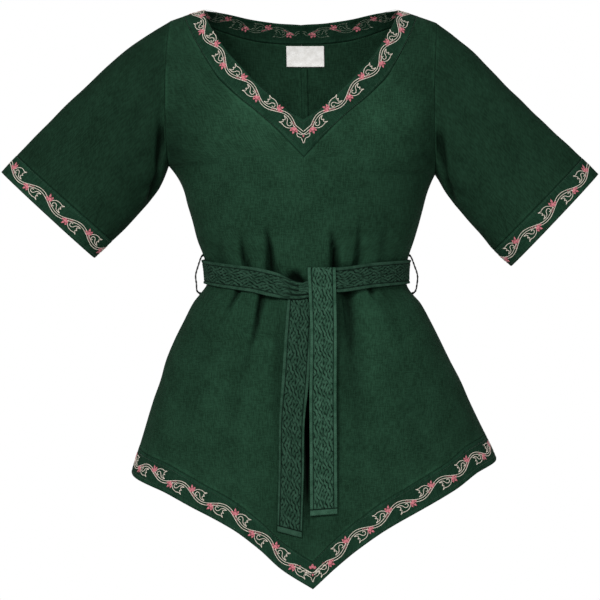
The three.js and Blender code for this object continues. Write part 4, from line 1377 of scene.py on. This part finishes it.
def lay(ruler, pairs, off):
    """Pairs of ends along and across a band, laid on it off millimetres from its surface."""
    place, length = ruler
    u = pairs[..., 0]
    pairs = pairs[(u.min(axis=1) > END_GAP) & (u.max(axis=1) < length - END_GAP)]
    points, normals = place(pairs[..., 0], pairs[..., 1])
    return points + normals * off, unit(normals.mean(axis=1)) * np.sign(off + 1e-9)


# Topstitching
# A line of dark green machine stitches runs along both edges of every band. It goes through the
# doubled strip and the cloth below, and holds the band down.
TOPSTITCH_PITCH = 3.3
TOPSTITCH_LENGTH = 2.5
TOPSTITCH_INSET = 1.7
TOPSTITCH_WIDTH = 0.75
TOPSTITCH_HEIGHT = 0.5
TOPSTITCH_SEED = 20

topstitch_thread = thread_material("topstitch_thread", (0.07, 0.15, 0.105), (0.11, 0.21, 0.15), 0.7, 0.3)


def rulers_of(band):
    """One ruler round a cuff, and two from the middle of any other band to its ends."""
    form = band_form(band["place"], band["side"])
    first = band_ruler(*form, 0.0, 1.0)
    return [first] if band["place"] == "cuff" else [first, band_ruler(*form, -1e-6, -1.0)]


band_rulers = {f"{band['place']}_{band['side']}": rulers_of(band) for band in BANDS}


def running_line(length, v):
    start = np.arange(0, length, TOPSTITCH_PITCH)
    ends = (start, start + TOPSTITCH_LENGTH)
    return np.stack([np.stack([end, 0 * start + v], axis=-1) for end in ends], axis=1)


def running_lines(length):
    return np.concatenate([running_line(length, band_inset), running_line(length, -band_inset)])


def gather_laid(rulers, pairs_for, off):
    laid = [lay(ruler, pairs_for(ruler[1]), off) for ruler in rulers]
    return np.concatenate([one[0] for one in laid]), np.concatenate([one[1] for one in laid])


band_inset = BAND_WIDTH / 2 - TOPSTITCH_INSET
for index, (name, rulers) in enumerate(band_rulers.items()):
    ends, outs = gather_laid(rulers, running_lines, BAND_LIFT + 0.05)
    sew(f"topstitch_{name}", ends, outs, TOPSTITCH_WIDTH, TOPSTITCH_HEIGHT, topstitch_thread,
        TOPSTITCH_SEED + index)


# Embroidery
# A running vine in machine chain stitch: a double cream stem that swings from side to side, with
# an outlined leaf and a pink three-lobed bud at each swing. It is a common folk border.
STEM_SWING = 6
STEM_HALF_GAP = 1.65
CHAIN_LENGTH = 3.0
CHAIN_PITCH = 2.1
CHAIN_WIDTH = 1.36
LEAF_STITCH_PITCH = 1.6
LEAF_STITCH_LENGTH = 2.2
SATIN_WIDTH = 1.15
THREAD_HEIGHT = 0.9
CENTRE_STITCH_PITCH = 1.75
CENTRE_STITCH_LENGTH = 2.3
CENTRE_STITCH_WIDTH = 1.35
VINE_SEED = 40
LEAF = [
    [(0, 0), (-1.6, 4.4), (-6.4, 8.8), (-13.0, 10.0), (-17.6, 9.0), (-22.0, 10.4)],
    [(-22.0, 10.4), (-18.6, 7.6), (-17.0, 5.2)],
    [(-17.0, 5.2), (-18.2, 4.6), (-20.4, 4.6)],
    [(-20.4, 4.6), (-18.0, 3.2), (-16.6, 1.8)],
    [(-16.6, 1.8), (-19.0, -0.2), (-22.4, -1.6)],
    [(-22.4, -1.6), (-17.0, -1.6), (-13.6, 0.4), (-12.2, 3.4), (-9.4, 5.6), (-6.0, 4.8), (-5.0, 1.8),
     (-7.2, -0.2), (-9.2, 1.2)],
]
BUD_ANGLE = 62
BUD_LENGTH = 13.2
BUD_START = 1.5
# Lobes of a bud: how far each leans from its middle, its length and the threads laid in it
BUD_LOBES = ((-31, 0.8, 5), (0, 1.0, 6), (31, 0.8, 5))
# Centre leaves, in millimetres sideways and up from where the two stems meet
NECK_POINT_LEAF = [
    [(0, -2.0), (4.0, -3.4), (9.0, -0.8)],
    [(9.0, -0.8), (9.4, -4.4), (7.0, -7.0), (3.4, -8.0)],
    [(3.4, -8.0), (1.8, -11.5), (0.4, -16.2)],
]
HEM_POINT_LEAF = [
    [(0, -2.0), (3.6, -2.6), (8.6, 1.2)],
    [(8.6, 1.2), (9.2, -3.6), (7.0, -6.6), (3.6, -8.0)],
    [(3.6, -8.0), (1.8, -11.0), (0.3, -16.0)],
]

cream_thread = thread_material("cream_thread", (0.65, 0.61, 0.56), (0.80, 0.76, 0.71), 0.5, 0.3)
pink_thread = thread_material("pink_thread", (0.53, 0.26, 0.30), (0.74, 0.43, 0.46), 0.48, 0.3)


def smooth_path(points, count):
    """A smooth line through points, taken at even steps of its length."""
    points = np.asarray(points, float)
    fine = np.linspace(0, 1, 40 * len(points))
    dense = np.stack([even_curve(points[:, i])(fine) for i in range(points.shape[1])], axis=-1)
    run = run_along(dense)
    return points_at(np.linspace(0, run[-1], count), run, dense)


def stitches_along(line, run, start, length):
    """Pairs of ends of stitches on a line, from where each starts along it."""
    return np.stack([points_at(start, run, line), points_at(start + length, run, line)], axis=1)


def chain(points, pitch, length):
    """Chain stitches along a smooth line through points, each overlapping the next."""
    line = smooth_path(points, 160)
    run = run_along(line)
    count = max(2, round((run[-1] - length) / pitch) + 1)
    return stitches_along(line, run, np.linspace(0, max(run[-1] - length, 0.2), count), length)


def bud(angle, length=BUD_LENGTH, start=BUD_START):
    """Satin threads fanned into three pointed lobes, from the stem out."""
    pairs = []
    for lean, share, threads in BUD_LOBES:
        turn = (angle + lean) * DEGREE
        ahead = np.array([math.cos(turn), math.sin(turn)])
        side = np.array([-ahead[1], ahead[0]])
        reach_out = length * share
        for i in range(threads):
            spread = (i / (threads - 1) - 0.5) * 2
            foot = ahead * start + side * spread * 0.5
            belly = ahead * (start + reach_out * 0.52) + side * spread * 2.0
            tip = ahead * (reach_out * (1 - 0.1 * abs(spread))) + side * spread * 0.3
            pairs += [(foot, belly), (belly - (belly - foot) * 0.2, tip)]
    return np.array(pairs)


def stem_line(u, period, first, lean, off):
    return off + STEM_SWING * np.sin(2 * np.pi * lean * (u - first) / period)


def vine(length, period, upper, lean, off=0.0, start=0.0, meet=None):
    """The vine along a band, as pairs of ends of its cream and its pink stitches.

    Upper is the place of a leaf on the seam's side, and a leaf on the other side comes half a period
    later. Lean is 1 where the leaf tips point back to the start and -1 where they point away.
    Below start the stem runs straight to meet, where the mirrored half joins it.
    """
    u = np.arange(0, length + 1, 1.0)
    middle = stem_line(u, period, upper, lean, off)
    if meet is not None:
        middle = np.where(u < start, lerp(meet, off, np.clip(u / start, 0, 1)), middle)
    line = np.stack([u, middle], axis=-1)
    normal = np.stack([-np.gradient(middle), 1 + 0 * u], axis=-1)
    normal /= np.linalg.norm(normal, axis=1, keepdims=True)
    cream = []
    pink = []
    run = run_along(line)
    start_run = np.arange(0, run[-1] - CHAIN_LENGTH, CHAIN_PITCH)
    for side in (-1, 1):
        rail = line + normal * side * STEM_HALF_GAP
        cream.append(stitches_along(rail, run, start_run, CHAIN_LENGTH))
    count = int(length / period) + 2
    for k in range(-1, count):
        for half, flip in ((0.0, 1), (0.5, -1)):
            node = upper + (k + half) * period
            if node < max(start - 2, 0) or node > length + 20:
                continue
            turn = np.array([lean, flip])
            origin = np.array([node, off])
            for stroke in LEAF:
                stroke = np.array(stroke, float) * turn + origin
                cream.append(chain(stroke, LEAF_STITCH_PITCH, LEAF_STITCH_LENGTH))
            pink.append(bud(BUD_ANGLE) * turn + origin)
            core_u = np.arange(-7, 10, CHAIN_PITCH)
            core = np.stack([core_u, stem_line(core_u, period, 0, 1, 0)], axis=-1)
            pink.append(np.stack([core[:-1], core[1:]], axis=1) * turn + origin)
    return np.concatenate(cream), np.concatenate(pink)


VINES = {
    "neck_front": dict(period=72, upper=20.5, lean=-1, off=-4.4, start=20.5, meet=-5.2),
    "neck_back": dict(period=69, upper=20, lean=-1, off=-3.5, start=8, meet=-3.5),
    "hem_front": dict(period=75, upper=66, lean=1, off=0.0, start=28.5, meet=1.0),
    "hem_back": dict(period=75, upper=66, lean=1, off=0.0, start=28.5, meet=1.0),
    "cuff_left": dict(period=0, upper=30, lean=-1),
    "cuff_right": dict(period=0, upper=30, lean=-1),
}


def vine_part(name, which):
    """A function from a band's length to the pairs of its cream stitches, 0, or its pink ones, 1."""
    def pairs_for(length):
        plan = dict(VINES[name])
        plan["period"] = plan["period"] or length / 6
        return vine(length, **plan)[which]
    return pairs_for


VINE_THREADS = (("cream", cream_thread, CHAIN_WIDTH, 0.1), ("pink", pink_thread, SATIN_WIDTH, 0.25))
for index, (name, rulers) in enumerate(band_rulers.items()):
    for which, (colour, thread, width, off) in enumerate(VINE_THREADS):
        ends, outs = gather_laid(rulers, vine_part(name, which), BAND_LIFT + off)
        seed = VINE_SEED + 2 * index + which
        sew(f"vine_{colour}_{name}", ends, outs, width, THREAD_HEIGHT, thread, seed)


def lay_flat(face, pairs, off):
    """Pairs of ends given sideways and up, laid on the front or back of the tunic."""
    x = pairs[..., 0]
    z = pairs[..., 1]
    w = way_round(x, z)
    normals = body_normal(face, w, z)
    return body_point(face, w, z) + normals * off, unit(normals.mean(axis=1))


def point_leaf(name, face, strokes, meeting, bud_angle, seed):
    """The leaf and bud that close the vine where its two halves meet."""
    cream = []
    for stroke in strokes:
        for side in (-1, 1):
            points = np.array(stroke, float) * (side, 1) + (0, meeting)
            cream.append(chain(points, CENTRE_STITCH_PITCH, CENTRE_STITCH_LENGTH))
    centre = np.array([[(-1.2, -3.6), (0, -7.6)], [(1.2, -3.6), (0, -7.6)], [(0, -3.4), (0, -8.6)]])
    pink = [centre + (0, meeting)]
    if bud_angle is not None:
        pink.append(bud(bud_angle, 10.5, 3.0) + (0, meeting))
    for colour, pairs, thread in (("cream", cream, cream_thread), ("pink", pink, pink_thread)):
        ends, outs = lay_flat(face, np.concatenate(pairs), BAND_LIFT + 0.2)
        sew(f"{name}_{colour}", ends, outs, CENTRE_STITCH_WIDTH, THREAD_HEIGHT, thread, seed)


point_leaf("neck_point", FRONT, NECK_POINT_LEAF, -184, None, 60)
point_leaf("hem_point_front", FRONT, HEM_POINT_LEAF, -814, 90, 61)
point_leaf("hem_point_back", BACK, HEM_POINT_LEAF, -814, 90, 62)

# Inside the back of the neck the wrong side of the same stitches shows, in duller threads.
WRONG_SIDE_OFF = -(BAND_CLOTH - BAND_LIFT) - 0.12
WRONG_SIDE_SEED = 70
WRONG_SIDE_UNEVENNESS = 0.25
wrong_side_thread = thread_material("wrong_side_thread", (0.30, 0.38, 0.31), (0.50, 0.52, 0.46), 0.7, 0.1)

for which, (thread, width) in enumerate(((wrong_side_thread, 0.7), (pink_thread, 1.3))):
    ends, outs = gather_laid(band_rulers["neck_back"], vine_part("neck_back", which), WRONG_SIDE_OFF)
    seed = WRONG_SIDE_SEED + which
    sew(f"vine_wrong_side_{which}", ends, outs, width, 0.5, thread, seed, WRONG_SIDE_UNEVENNESS)


# Belt
# A long strip of the same cotton over a stiff lining, quilted all over by machine with leaves
# between two stitched rims. It runs round the waist, over the gathers, through the thread loops.
BELT_CLOTH = 2.4
BELT = table(
    "angle z width off",
    (4.4, -397, 36, 3.6),
    (12, -397, 36, 3.8),
    (20, -396.5, 36, 3.5),
    (42, -389.5, 36, 1.1),
    (90, -384, 35, 3),
    (180, -380, 36, 1),
    (270, -384, 35, 3),
    (326, -395.5, 36, 1.1),
    (343, -404, 36, 3.5),
    (353.5, -412, 28, 3.4),
    (358, -412.6, 25, 3.2),
    (363.6, -411, 22, 2.2),
)
QUILT_REPEAT = 31
LEAF_PITCH = 4.7
LEAF_SLANT = 0.44
RIB_PITCH = 2.4
RIM_WIDTH = 5
GROOVE_WIDTH = 0.84
GROOVE_DEPTH = 1.1
BELT_THREAD = 0.0008
HALF_WIDTH = 18
BELT_STEPS = 620
BELT_ROWS = 38


def groove(distance, width=GROOVE_WIDTH):
    return np.exp(-((distance / width) ** 2))


def quilting(u, v, half_width):
    """How deep the machine quilting sinks the strip, from 0 on the puffs to 1 in the stitched lines."""
    inner = half_width - RIM_WIDTH
    edge = np.abs(v)
    lines = groove(edge - inner)
    inside = edge < inner
    # The hand-guided lines wander a little, and fade where the foot of the machine skips.
    u = u + 0.9 * np.sin(u * 0.19 + v * 0.45) + 0.7 * np.sin(u * 0.43 - v * 0.7)
    v = v + 0.45 * np.sin(u * 0.31) + 0.3 * np.sin(u * 0.83 + 1)
    edge = np.abs(v)
    skip = np.clip(0.8 + 0.5 * np.sin(u * 0.57 + v * 0.9) * np.sin(u * 0.21 - v * 0.4 + 2), 0.35, 1)
    # Two sets of slanting lines cross into long leaf puffs. Each set fades where the other is strong.
    turn = np.sin(2 * np.pi * u / QUILT_REPEAT + 0.2 * v)
    leaning = groove((np.mod((v + LEAF_SLANT * u) / LEAF_PITCH, 1) - 0.5) * LEAF_PITCH * 0.92)
    falling = groove((np.mod((v - LEAF_SLANT * u) / LEAF_PITCH, 1) - 0.5) * LEAF_PITCH * 0.92)
    net = np.maximum(leaning * np.clip(0.8 + 0.4 * turn, 0.4, 1), falling * np.clip(0.8 - 0.4 * turn, 0.4, 1))
    # A broken line runs up the middle.
    spine = 0.8 * groove(v, 0.7) * np.clip(2 * skip - 0.9, 0, 1)
    # Close lines of stitching rib the rims.
    ribs = 0.32 * groove((np.mod(u / RIB_PITCH, 1) - 0.5) * RIB_PITCH, 0.5) * (edge > inner + 0.9)
    drawn_lines = np.maximum(net * skip, spine) * inside
    return np.maximum(np.maximum(0.85 * lines, ribs), drawn_lines)


def belt_cloth_material():
    """The belt's cloth, rubbed pale and greyish on its puffs. Its stitched grooves are darker, as less rubbed
    cloth and as painted shade, and the valleys of the knot's pleats are painted shade.
    """
    material, nodes, shader = new_material("belt_cloth")
    weft, warp, place = place_on_cloth(nodes)
    fine = nodes.noise(place, 1400.0)
    tone = nodes.noise(place, 90.0, 3.0).ramp(0.3, 0.7) * 0.5 + fine.ramp(0.3, 0.7) * 0.5
    puff = nodes.mix(tone, linear(0.088, 0.180, 0.132), linear(0.182, 0.292, 0.234))
    # Painted shade: where the sunk mark is high, in the grooves and pleat valleys, the colour goes almost
    # black.
    rubbed_and_shaded = nodes.mix(nodes.attribute("sunk").ramp(0.05, 0.85), puff, linear(0.014, 0.050, 0.030))
    weave = thread_wave(weft, BELT_THREAD) * thread_wave(warp, BELT_THREAD)
    nodes.feed(shader, {
        "Base Color": with_painted_light_shade(nodes, rubbed_and_shaded),
        "Roughness": 0.86,
        "Normal": nodes.bump(0.5, weave * 0.00006 + fine * 0.00012),
        "Specular IOR Level": CLOTH_SHINE,
    })
    return material


belt_cloth = belt_cloth_material()


def waist_point(angle, z, off):
    """A point off the tunic at the waist, by the angle round from the middle of the front."""
    turned = np.mod(angle, 360)
    hand = np.where(turned < 180, 1, -1)
    from_front = np.where(hand > 0, turned, 360 - turned)
    ahead = from_front <= 90
    part = np.where(ahead, from_front, 180 - from_front) / 90
    point = np.where(
        ahead[..., None],
        body_point(FRONT, hand * part, z, gathered=False),
        body_point(BACK, hand * part, z, gathered=False),
    )
    depth = np.where(ahead, full_depth[FRONT](z), full_depth[BACK](z))
    sideways = np.sin(turned * DEGREE) * depth
    forwards = -np.cos(turned * DEGREE) * base_width(hand, z)
    return point + unit(np.stack([sideways, forwards, 0 * sideways], -1)) * np.asarray(off)[..., None]


def grid_normals(points, outward):
    """Normals of a grid of points, facing the same way as outward."""
    across = np.gradient(points, axis=1)
    up = np.gradient(points, axis=0)
    normals = unit(np.cross(across, up))
    return normals * np.sign(np.sum(normals * outward))


def strip_marks(points):
    """How far each point lies along a strip's middle line, in millimetres."""
    return np.broadcast_to(run_along(points[points.shape[0] // 2])[None, :], points.shape[:2])


def make_strip(name, points, normals, width, sunk, lift, painted_light_shade):
    along = strip_marks(points)
    across = np.broadcast_to(width, points.shape[:2])
    marks = {"weft": along * MM, "warp": across * MM, "sunk": np.clip(sunk, 0, 1), "painted_light_shade": painted_light_shade + 0 * along}
    grooves = GROOVE_DEPTH * sunk
    return make_shell(name, [(points, normals)], BELT_CLOTH - grooves, lift - grooves, marks)


def belt_sheet(rows, steps, across):
    curve = {key: curve_through(rows, "angle", key) for key in ("z", "width", "off")}
    angle = np.linspace(rows[0]["angle"], rows[-1]["angle"], steps + 1)[None, :]
    t = across[:, None]
    level = curve["z"](angle) + (t - 0.5) * curve["width"](angle)
    angles = angle + 0 * t
    points = waist_point(angles, level, curve["off"](angles))
    normals = grid_normals(points, points * (1, 1, 0))
    return points, normals, (t - 0.5) * curve["width"](angle), angles


belt_across = steps_with_edges(BELT_ROWS)
belt_points, belt_normals, belt_v, belt_angle = belt_sheet(BELT, BELT_STEPS, belt_across)
belt_u = strip_marks(belt_points)
belt_sunk = quilting(belt_u, belt_v, HALF_WIDTH)
# Close to the knot the strip is drawn into pleats, and their valleys are painted dark as shade.
drawn = smooth_step((belt_angle - 338) / 18)
pleats = 0.4 + 0.4 * np.cos(belt_across[:, None] * 8 * np.pi)
belt_sunk = np.maximum(belt_sunk * (1 - 0.3 * drawn), pleats * drawn)
# The strip round the waist is painted a little darker, as shade.
strip = make_strip("belt_strip", belt_points, belt_normals, belt_v, belt_sunk, BELT_CLOTH, -0.2)
dress_sheet(strip, belt_cloth, (0.76, 0.036), 0.0272, "stretched", ["front_panel"], "belt_waist")


# Knot
# The belt crosses over itself in front, a little to the wearer's right of the middle. The
# crossing is drawn in hard, so the quilted strip bunches into a few thick pleats.
KNOT = table(
    "angle z width off thick",
    (-5, -408.5, 8, 3.0, 1.2),
    (-2.5, -408, 13, 3.4, 3.4),
    (0, -407.3, 17.5, 3.4, 5.0),
    (2, -408, 21.5, 3.4, 4.6),
    (4, -408.7, 24.5, 3.4, 3.4),
)
KNOT_PLEATS = (0, 0.9, 0.4, 1, 0.35, 1, 0.4, 0.9, 0)
KNOT_STEPS = 34
KNOT_ROWS = 34

knot_across = steps_with_edges(KNOT_ROWS)
knot_points, knot_normals, knot_v, knot_angle = belt_sheet(KNOT, KNOT_STEPS, knot_across)
knot_thick = curve_through(KNOT, "angle", "thick")(knot_angle)
knot_pleat = even_curve(KNOT_PLEATS)(knot_across[:, None]) + 0 * knot_angle
knot_puff = np.clip(knot_pleat, 0, 1)
knot_crinkle = 0.25 * np.sin(knot_angle * 4.1 + knot_v * 0.7) * knot_puff
knot_bulk = CLOTH + (knot_thick - CLOTH) * np.clip(knot_pleat, 0, 1.05) + knot_crinkle
knot_lines = quilting(strip_marks(knot_points), knot_v * 1.3, HALF_WIDTH)
# The sunk mark of the knot paints shade between its pleats and along its quilted lines.
knot_marks = {
    "weft": strip_marks(knot_points) * MM,
    "warp": knot_v * MM,
    "sunk": np.maximum((1 - knot_puff) * 0.7, 0.6 * knot_lines),
}
knot = make_shell("knot_pleats", [(knot_points, knot_normals)], knot_bulk, knot_bulk, knot_marks)
dress(knot, belt_cloth, "belt_knot")


# Belt ends
# The two loose ends of the same quilted strip, each closed with a narrow plain hem. One comes out
# behind the belt. The other is turned over the top of the belt and hangs in front of it.
TAIL_WIDTH = 39
HIDDEN_TAIL = table(
    "x z off width",
    (-5, -411, 1.7, 34),
    (-5, -428, 1.9, 38),
    (-8, -470, 3.0, TAIL_WIDTH),
    (-12.5, -541, 3.4, TAIL_WIDTH),
    (-17.5, -600, 3.2, 36.5),
    (-18.5, -670, 3.2, 36),
    (-21, -762, 2.6, 35),
)
FRONT_TAIL = table(
    "x z off width",
    (25.5, -386, 8.2, 40.5),
    (27, -430, 8.2, TAIL_WIDTH),
    (28, -480, 7.6, 38),
    (27, -560, 7, TAIL_WIDTH),
    (27.5, -650, 6, TAIL_WIDTH),
    (28, -734, 4, TAIL_WIDTH),
)
HIDDEN_TAIL_SLANT = 9
FRONT_TAIL_SLANT = 3
FRONT_TAIL_FOLD = -382.8
TAIL_TUCK = 24
TAIL_BACK_OFF = 1.8
TAIL_HEM = 8.5
TAIL_STEPS = 330
TAIL_ROWS = 40


def skirt_point(x, z, off):
    """A point in front of the skirt, by its place from the middle, its height and how far off it is."""
    point = body_point(FRONT, way_round(x - centre_line(z), z), z, gathered=False)
    return point - np.stack([0 * z, np.asarray(off) + 0 * z, 0 * z], -1)


def make_tail(name, points, width, painted_light_shade):
    """A belt end from its middle surface. The last column is its free end."""
    toward = np.zeros_like(points)
    toward[:, -40:] = (0, -1, 0)
    normals = grid_normals(points, toward)
    along = strip_marks(points)
    from_end = along[0, -1] - along
    sunk = quilting(from_end - TAIL_HEM, width, TAIL_WIDTH / 2) * (from_end > TAIL_HEM)
    sunk = np.maximum(sunk, groove(from_end - TAIL_HEM, 0.9))
    return make_strip(name, points, normals, width, sunk, BELT_CLOTH / 2, painted_light_shade)


def tail_curves(rows):
    return {key: curve_through(rows, "z", key) for key in ("x", "width", "off")}


def hidden_tail_points(u):
    curve = tail_curves(HIDDEN_TAIL)
    t = np.linspace(0, 1, TAIL_STEPS + 1)[None, :]
    z = lerp(HIDDEN_TAIL[0]["z"], HIDDEN_TAIL[-1]["z"], t) + 0 * u
    width = u * curve["width"](z)
    return skirt_point(curve["x"](z) + width, z - u * HIDDEN_TAIL_SLANT * t, curve["off"](z)), width


def front_tail_points(u):
    curve = tail_curves(FRONT_TAIL)
    top = FRONT_TAIL[0]
    radius = (top["off"] - TAIL_BACK_OFF) / 2
    top_x = top["x"] + u * top["width"]
    tucked = skirt_point(
        top_x + np.zeros((1, 22)),
        np.linspace(FRONT_TAIL_FOLD - TAIL_TUCK, FRONT_TAIL_FOLD, 23)[None, :-1] + 0 * u,
        TAIL_BACK_OFF,
    )
    turn = np.linspace(0, np.pi, 15)[None, :-1] + 0 * u
    turned_off = TAIL_BACK_OFF + radius - radius * np.cos(turn)
    turned = skirt_point(top_x + 0 * turn, FRONT_TAIL_FOLD + 0 * turn, turned_off)
    turned = turned + np.stack([0 * turn, 0 * turn, radius * np.sin(turn)], -1)
    z = lerp(FRONT_TAIL_FOLD, FRONT_TAIL[-1]["z"], np.linspace(0, 1, TAIL_STEPS + 1)[None, :]) + 0 * u
    off = curve["off"](np.minimum(z, top["z"]))
    hanging = skirt_point(curve["x"](z) + u * curve["width"](z), z + u * FRONT_TAIL_SLANT, off)
    points = np.concatenate([tucked, turned, hanging], axis=1)
    return points, u * TAIL_WIDTH + np.zeros(points.shape[:2])


tail_across = (steps_with_edges(TAIL_ROWS) - 0.5)[:, None]
# The end behind is painted a little darker, as shade, and the end in front lighter, as painted light.
tail = make_tail("belt_end_behind", *hidden_tail_points(tail_across), -0.12)
dress_sheet(tail, belt_cloth, (0.36, 0.038), 0.0136, "hung", ["belt_strip"], "belt_tail_right")
tail = make_tail("belt_end_in_front", *front_tail_points(tail_across), 0.24)
dress_sheet(tail, belt_cloth, (0.40, 0.039), 0.0151, "hung", ["belt_strip"], "belt_tail_left")


# Belt loops
# A short loop of twisted thread worked at each side seam. It stands off the cloth, and the belt
# runs through it.
LOOP_PATH = table(
    "out z",
    (-1.5, -359), (4, -362.5), (12, -376), (17, -389.5), (15.5, -402), (8, -412.5), (-1, -417),
)
PLY_RADIUS = 0.8
PLY_OFFSET = 0.6
PLY_TWIST = 4.4
TACK_LENGTH = 4
LOOP_STEPS = 150
PLY_SIDES = 8

loop_thread = thread_material("loop_thread", (0.02, 0.045, 0.03), (0.05, 0.09, 0.065), 0.85, 0.1)


def tube_faces(start):
    """The quads round one ply and the two faces that close it, for rings of points from start."""
    faces = []
    for i in range(LOOP_STEPS - 1):
        for j in range(PLY_SIDES):
            a = start + i * PLY_SIDES + j
            b = start + i * PLY_SIDES + (j + 1) % PLY_SIDES
            faces.append((a, b, b + PLY_SIDES, a + PLY_SIDES))
    faces.append([start + j for j in range(PLY_SIDES)][::-1])
    faces.append([start + (LOOP_STEPS - 1) * PLY_SIDES + j for j in range(PLY_SIDES)])
    return faces


def twisted_loop(name, hand):
    heights = [(row["out"], row["z"]) for row in LOOP_PATH]
    corners = [(hand * float(centre_line(z) * hand + edge_width(hand, z) + out), 0, z) for out, z in heights]
    path = smooth_path(corners, LOOP_STEPS)
    along = unit(np.gradient(path, axis=0))
    side = np.tile((0.0, 1.0, 0.0), (LOOP_STEPS, 1))
    out = np.cross(along, side)
    run = run_along(path)
    # Both ends are thickened where the thread is tacked to the seam.
    from_end = np.minimum(run, run[-1] - run)
    radius = PLY_RADIUS * (1 + 1.1 * np.exp(-((from_end / TACK_LENGTH) ** 2)) + 0.2 * np.sin(run * 0.9))
    turn = np.linspace(0, 2 * np.pi, PLY_SIDES, endpoint=False)
    ring = np.cos(turn)[None, :, None] * side[:, None] + np.sin(turn)[None, :, None] * out[:, None]
    vertices = []
    faces = []
    for ply in (0, np.pi):
        twist = (run / PLY_TWIST * 2 * np.pi + ply)[:, None]
        middle = path + PLY_OFFSET * (np.cos(twist) * side + np.sin(twist) * out)
        faces += tube_faces(len(vertices))
        vertices += ((middle[:, None] + radius[:, None, None] * ring) * MM).reshape(-1, 3).tolist()
    return add_mesh(name, vertices, faces)


for hand, side in ((1, "left"), (-1, "right")):
    dress(twisted_loop(f"thread_loop_{side}", hand), loop_thread, f"belt_loop_{side}")


# Label
# A white woven satin label, left blank, sewn down at both ends inside the back of the neck.
LABEL = {"middle": 5.8, "width": 57, "top": -42.5, "height": 31, "thick": 0.6, "inset": 1.1}


def label_material():
    material, nodes, shader = new_material("label_weave")
    weft, warp, place = place_on_cloth(nodes)
    soil = nodes.noise(place, 120.0, 3.0).ramp(0.3, 0.7)
    tone = soil * 0.6 + nodes.attribute("from_rim").ramp(0.0, 0.0025) * 0.4
    height = thread_wave(warp, 0.0006) * 0.00005 + thread_wave(weft, 0.0011) * 0.00002
    nodes.feed(shader, {
        "Base Color": nodes.mix(tone, linear(0.83, 0.82, 0.80), linear(0.93, 0.925, 0.915)),
        "Roughness": 0.5,
        "Normal": nodes.bump(0.5, height),
        "Specular IOR Level": 0.35,
    })
    return material


def label_points():
    x = LABEL["middle"] + (steps_with_edges(36)[None, :] - 0.5) * LABEL["width"]
    z = LABEL["top"] - LABEL["height"] * (1 - steps_with_edges(20)[:, None])
    x, z = np.broadcast_arrays(x, z)
    w = way_round(x, z)
    return body_point(BACK, w, z), body_normal(BACK, w, z)


label_sheet = label_points()
label_weft, label_warp = grain_marks(label_sheet[0])
label_bow = 0.35 * np.sin(np.linspace(0, np.pi, label_sheet[0].shape[1]))[None, :] + 0 * label_weft
label = make_shell("neck_label_cloth", [label_sheet], LABEL["thick"], -CLOTH - LABEL["inset"] - label_bow,
                   {"weft": label_weft, "warp": label_warp})
dress_sheet(label, label_material(), (0.057, 0.031), 0.00176, "stretched", ["back_panel_left"], "neck_label")
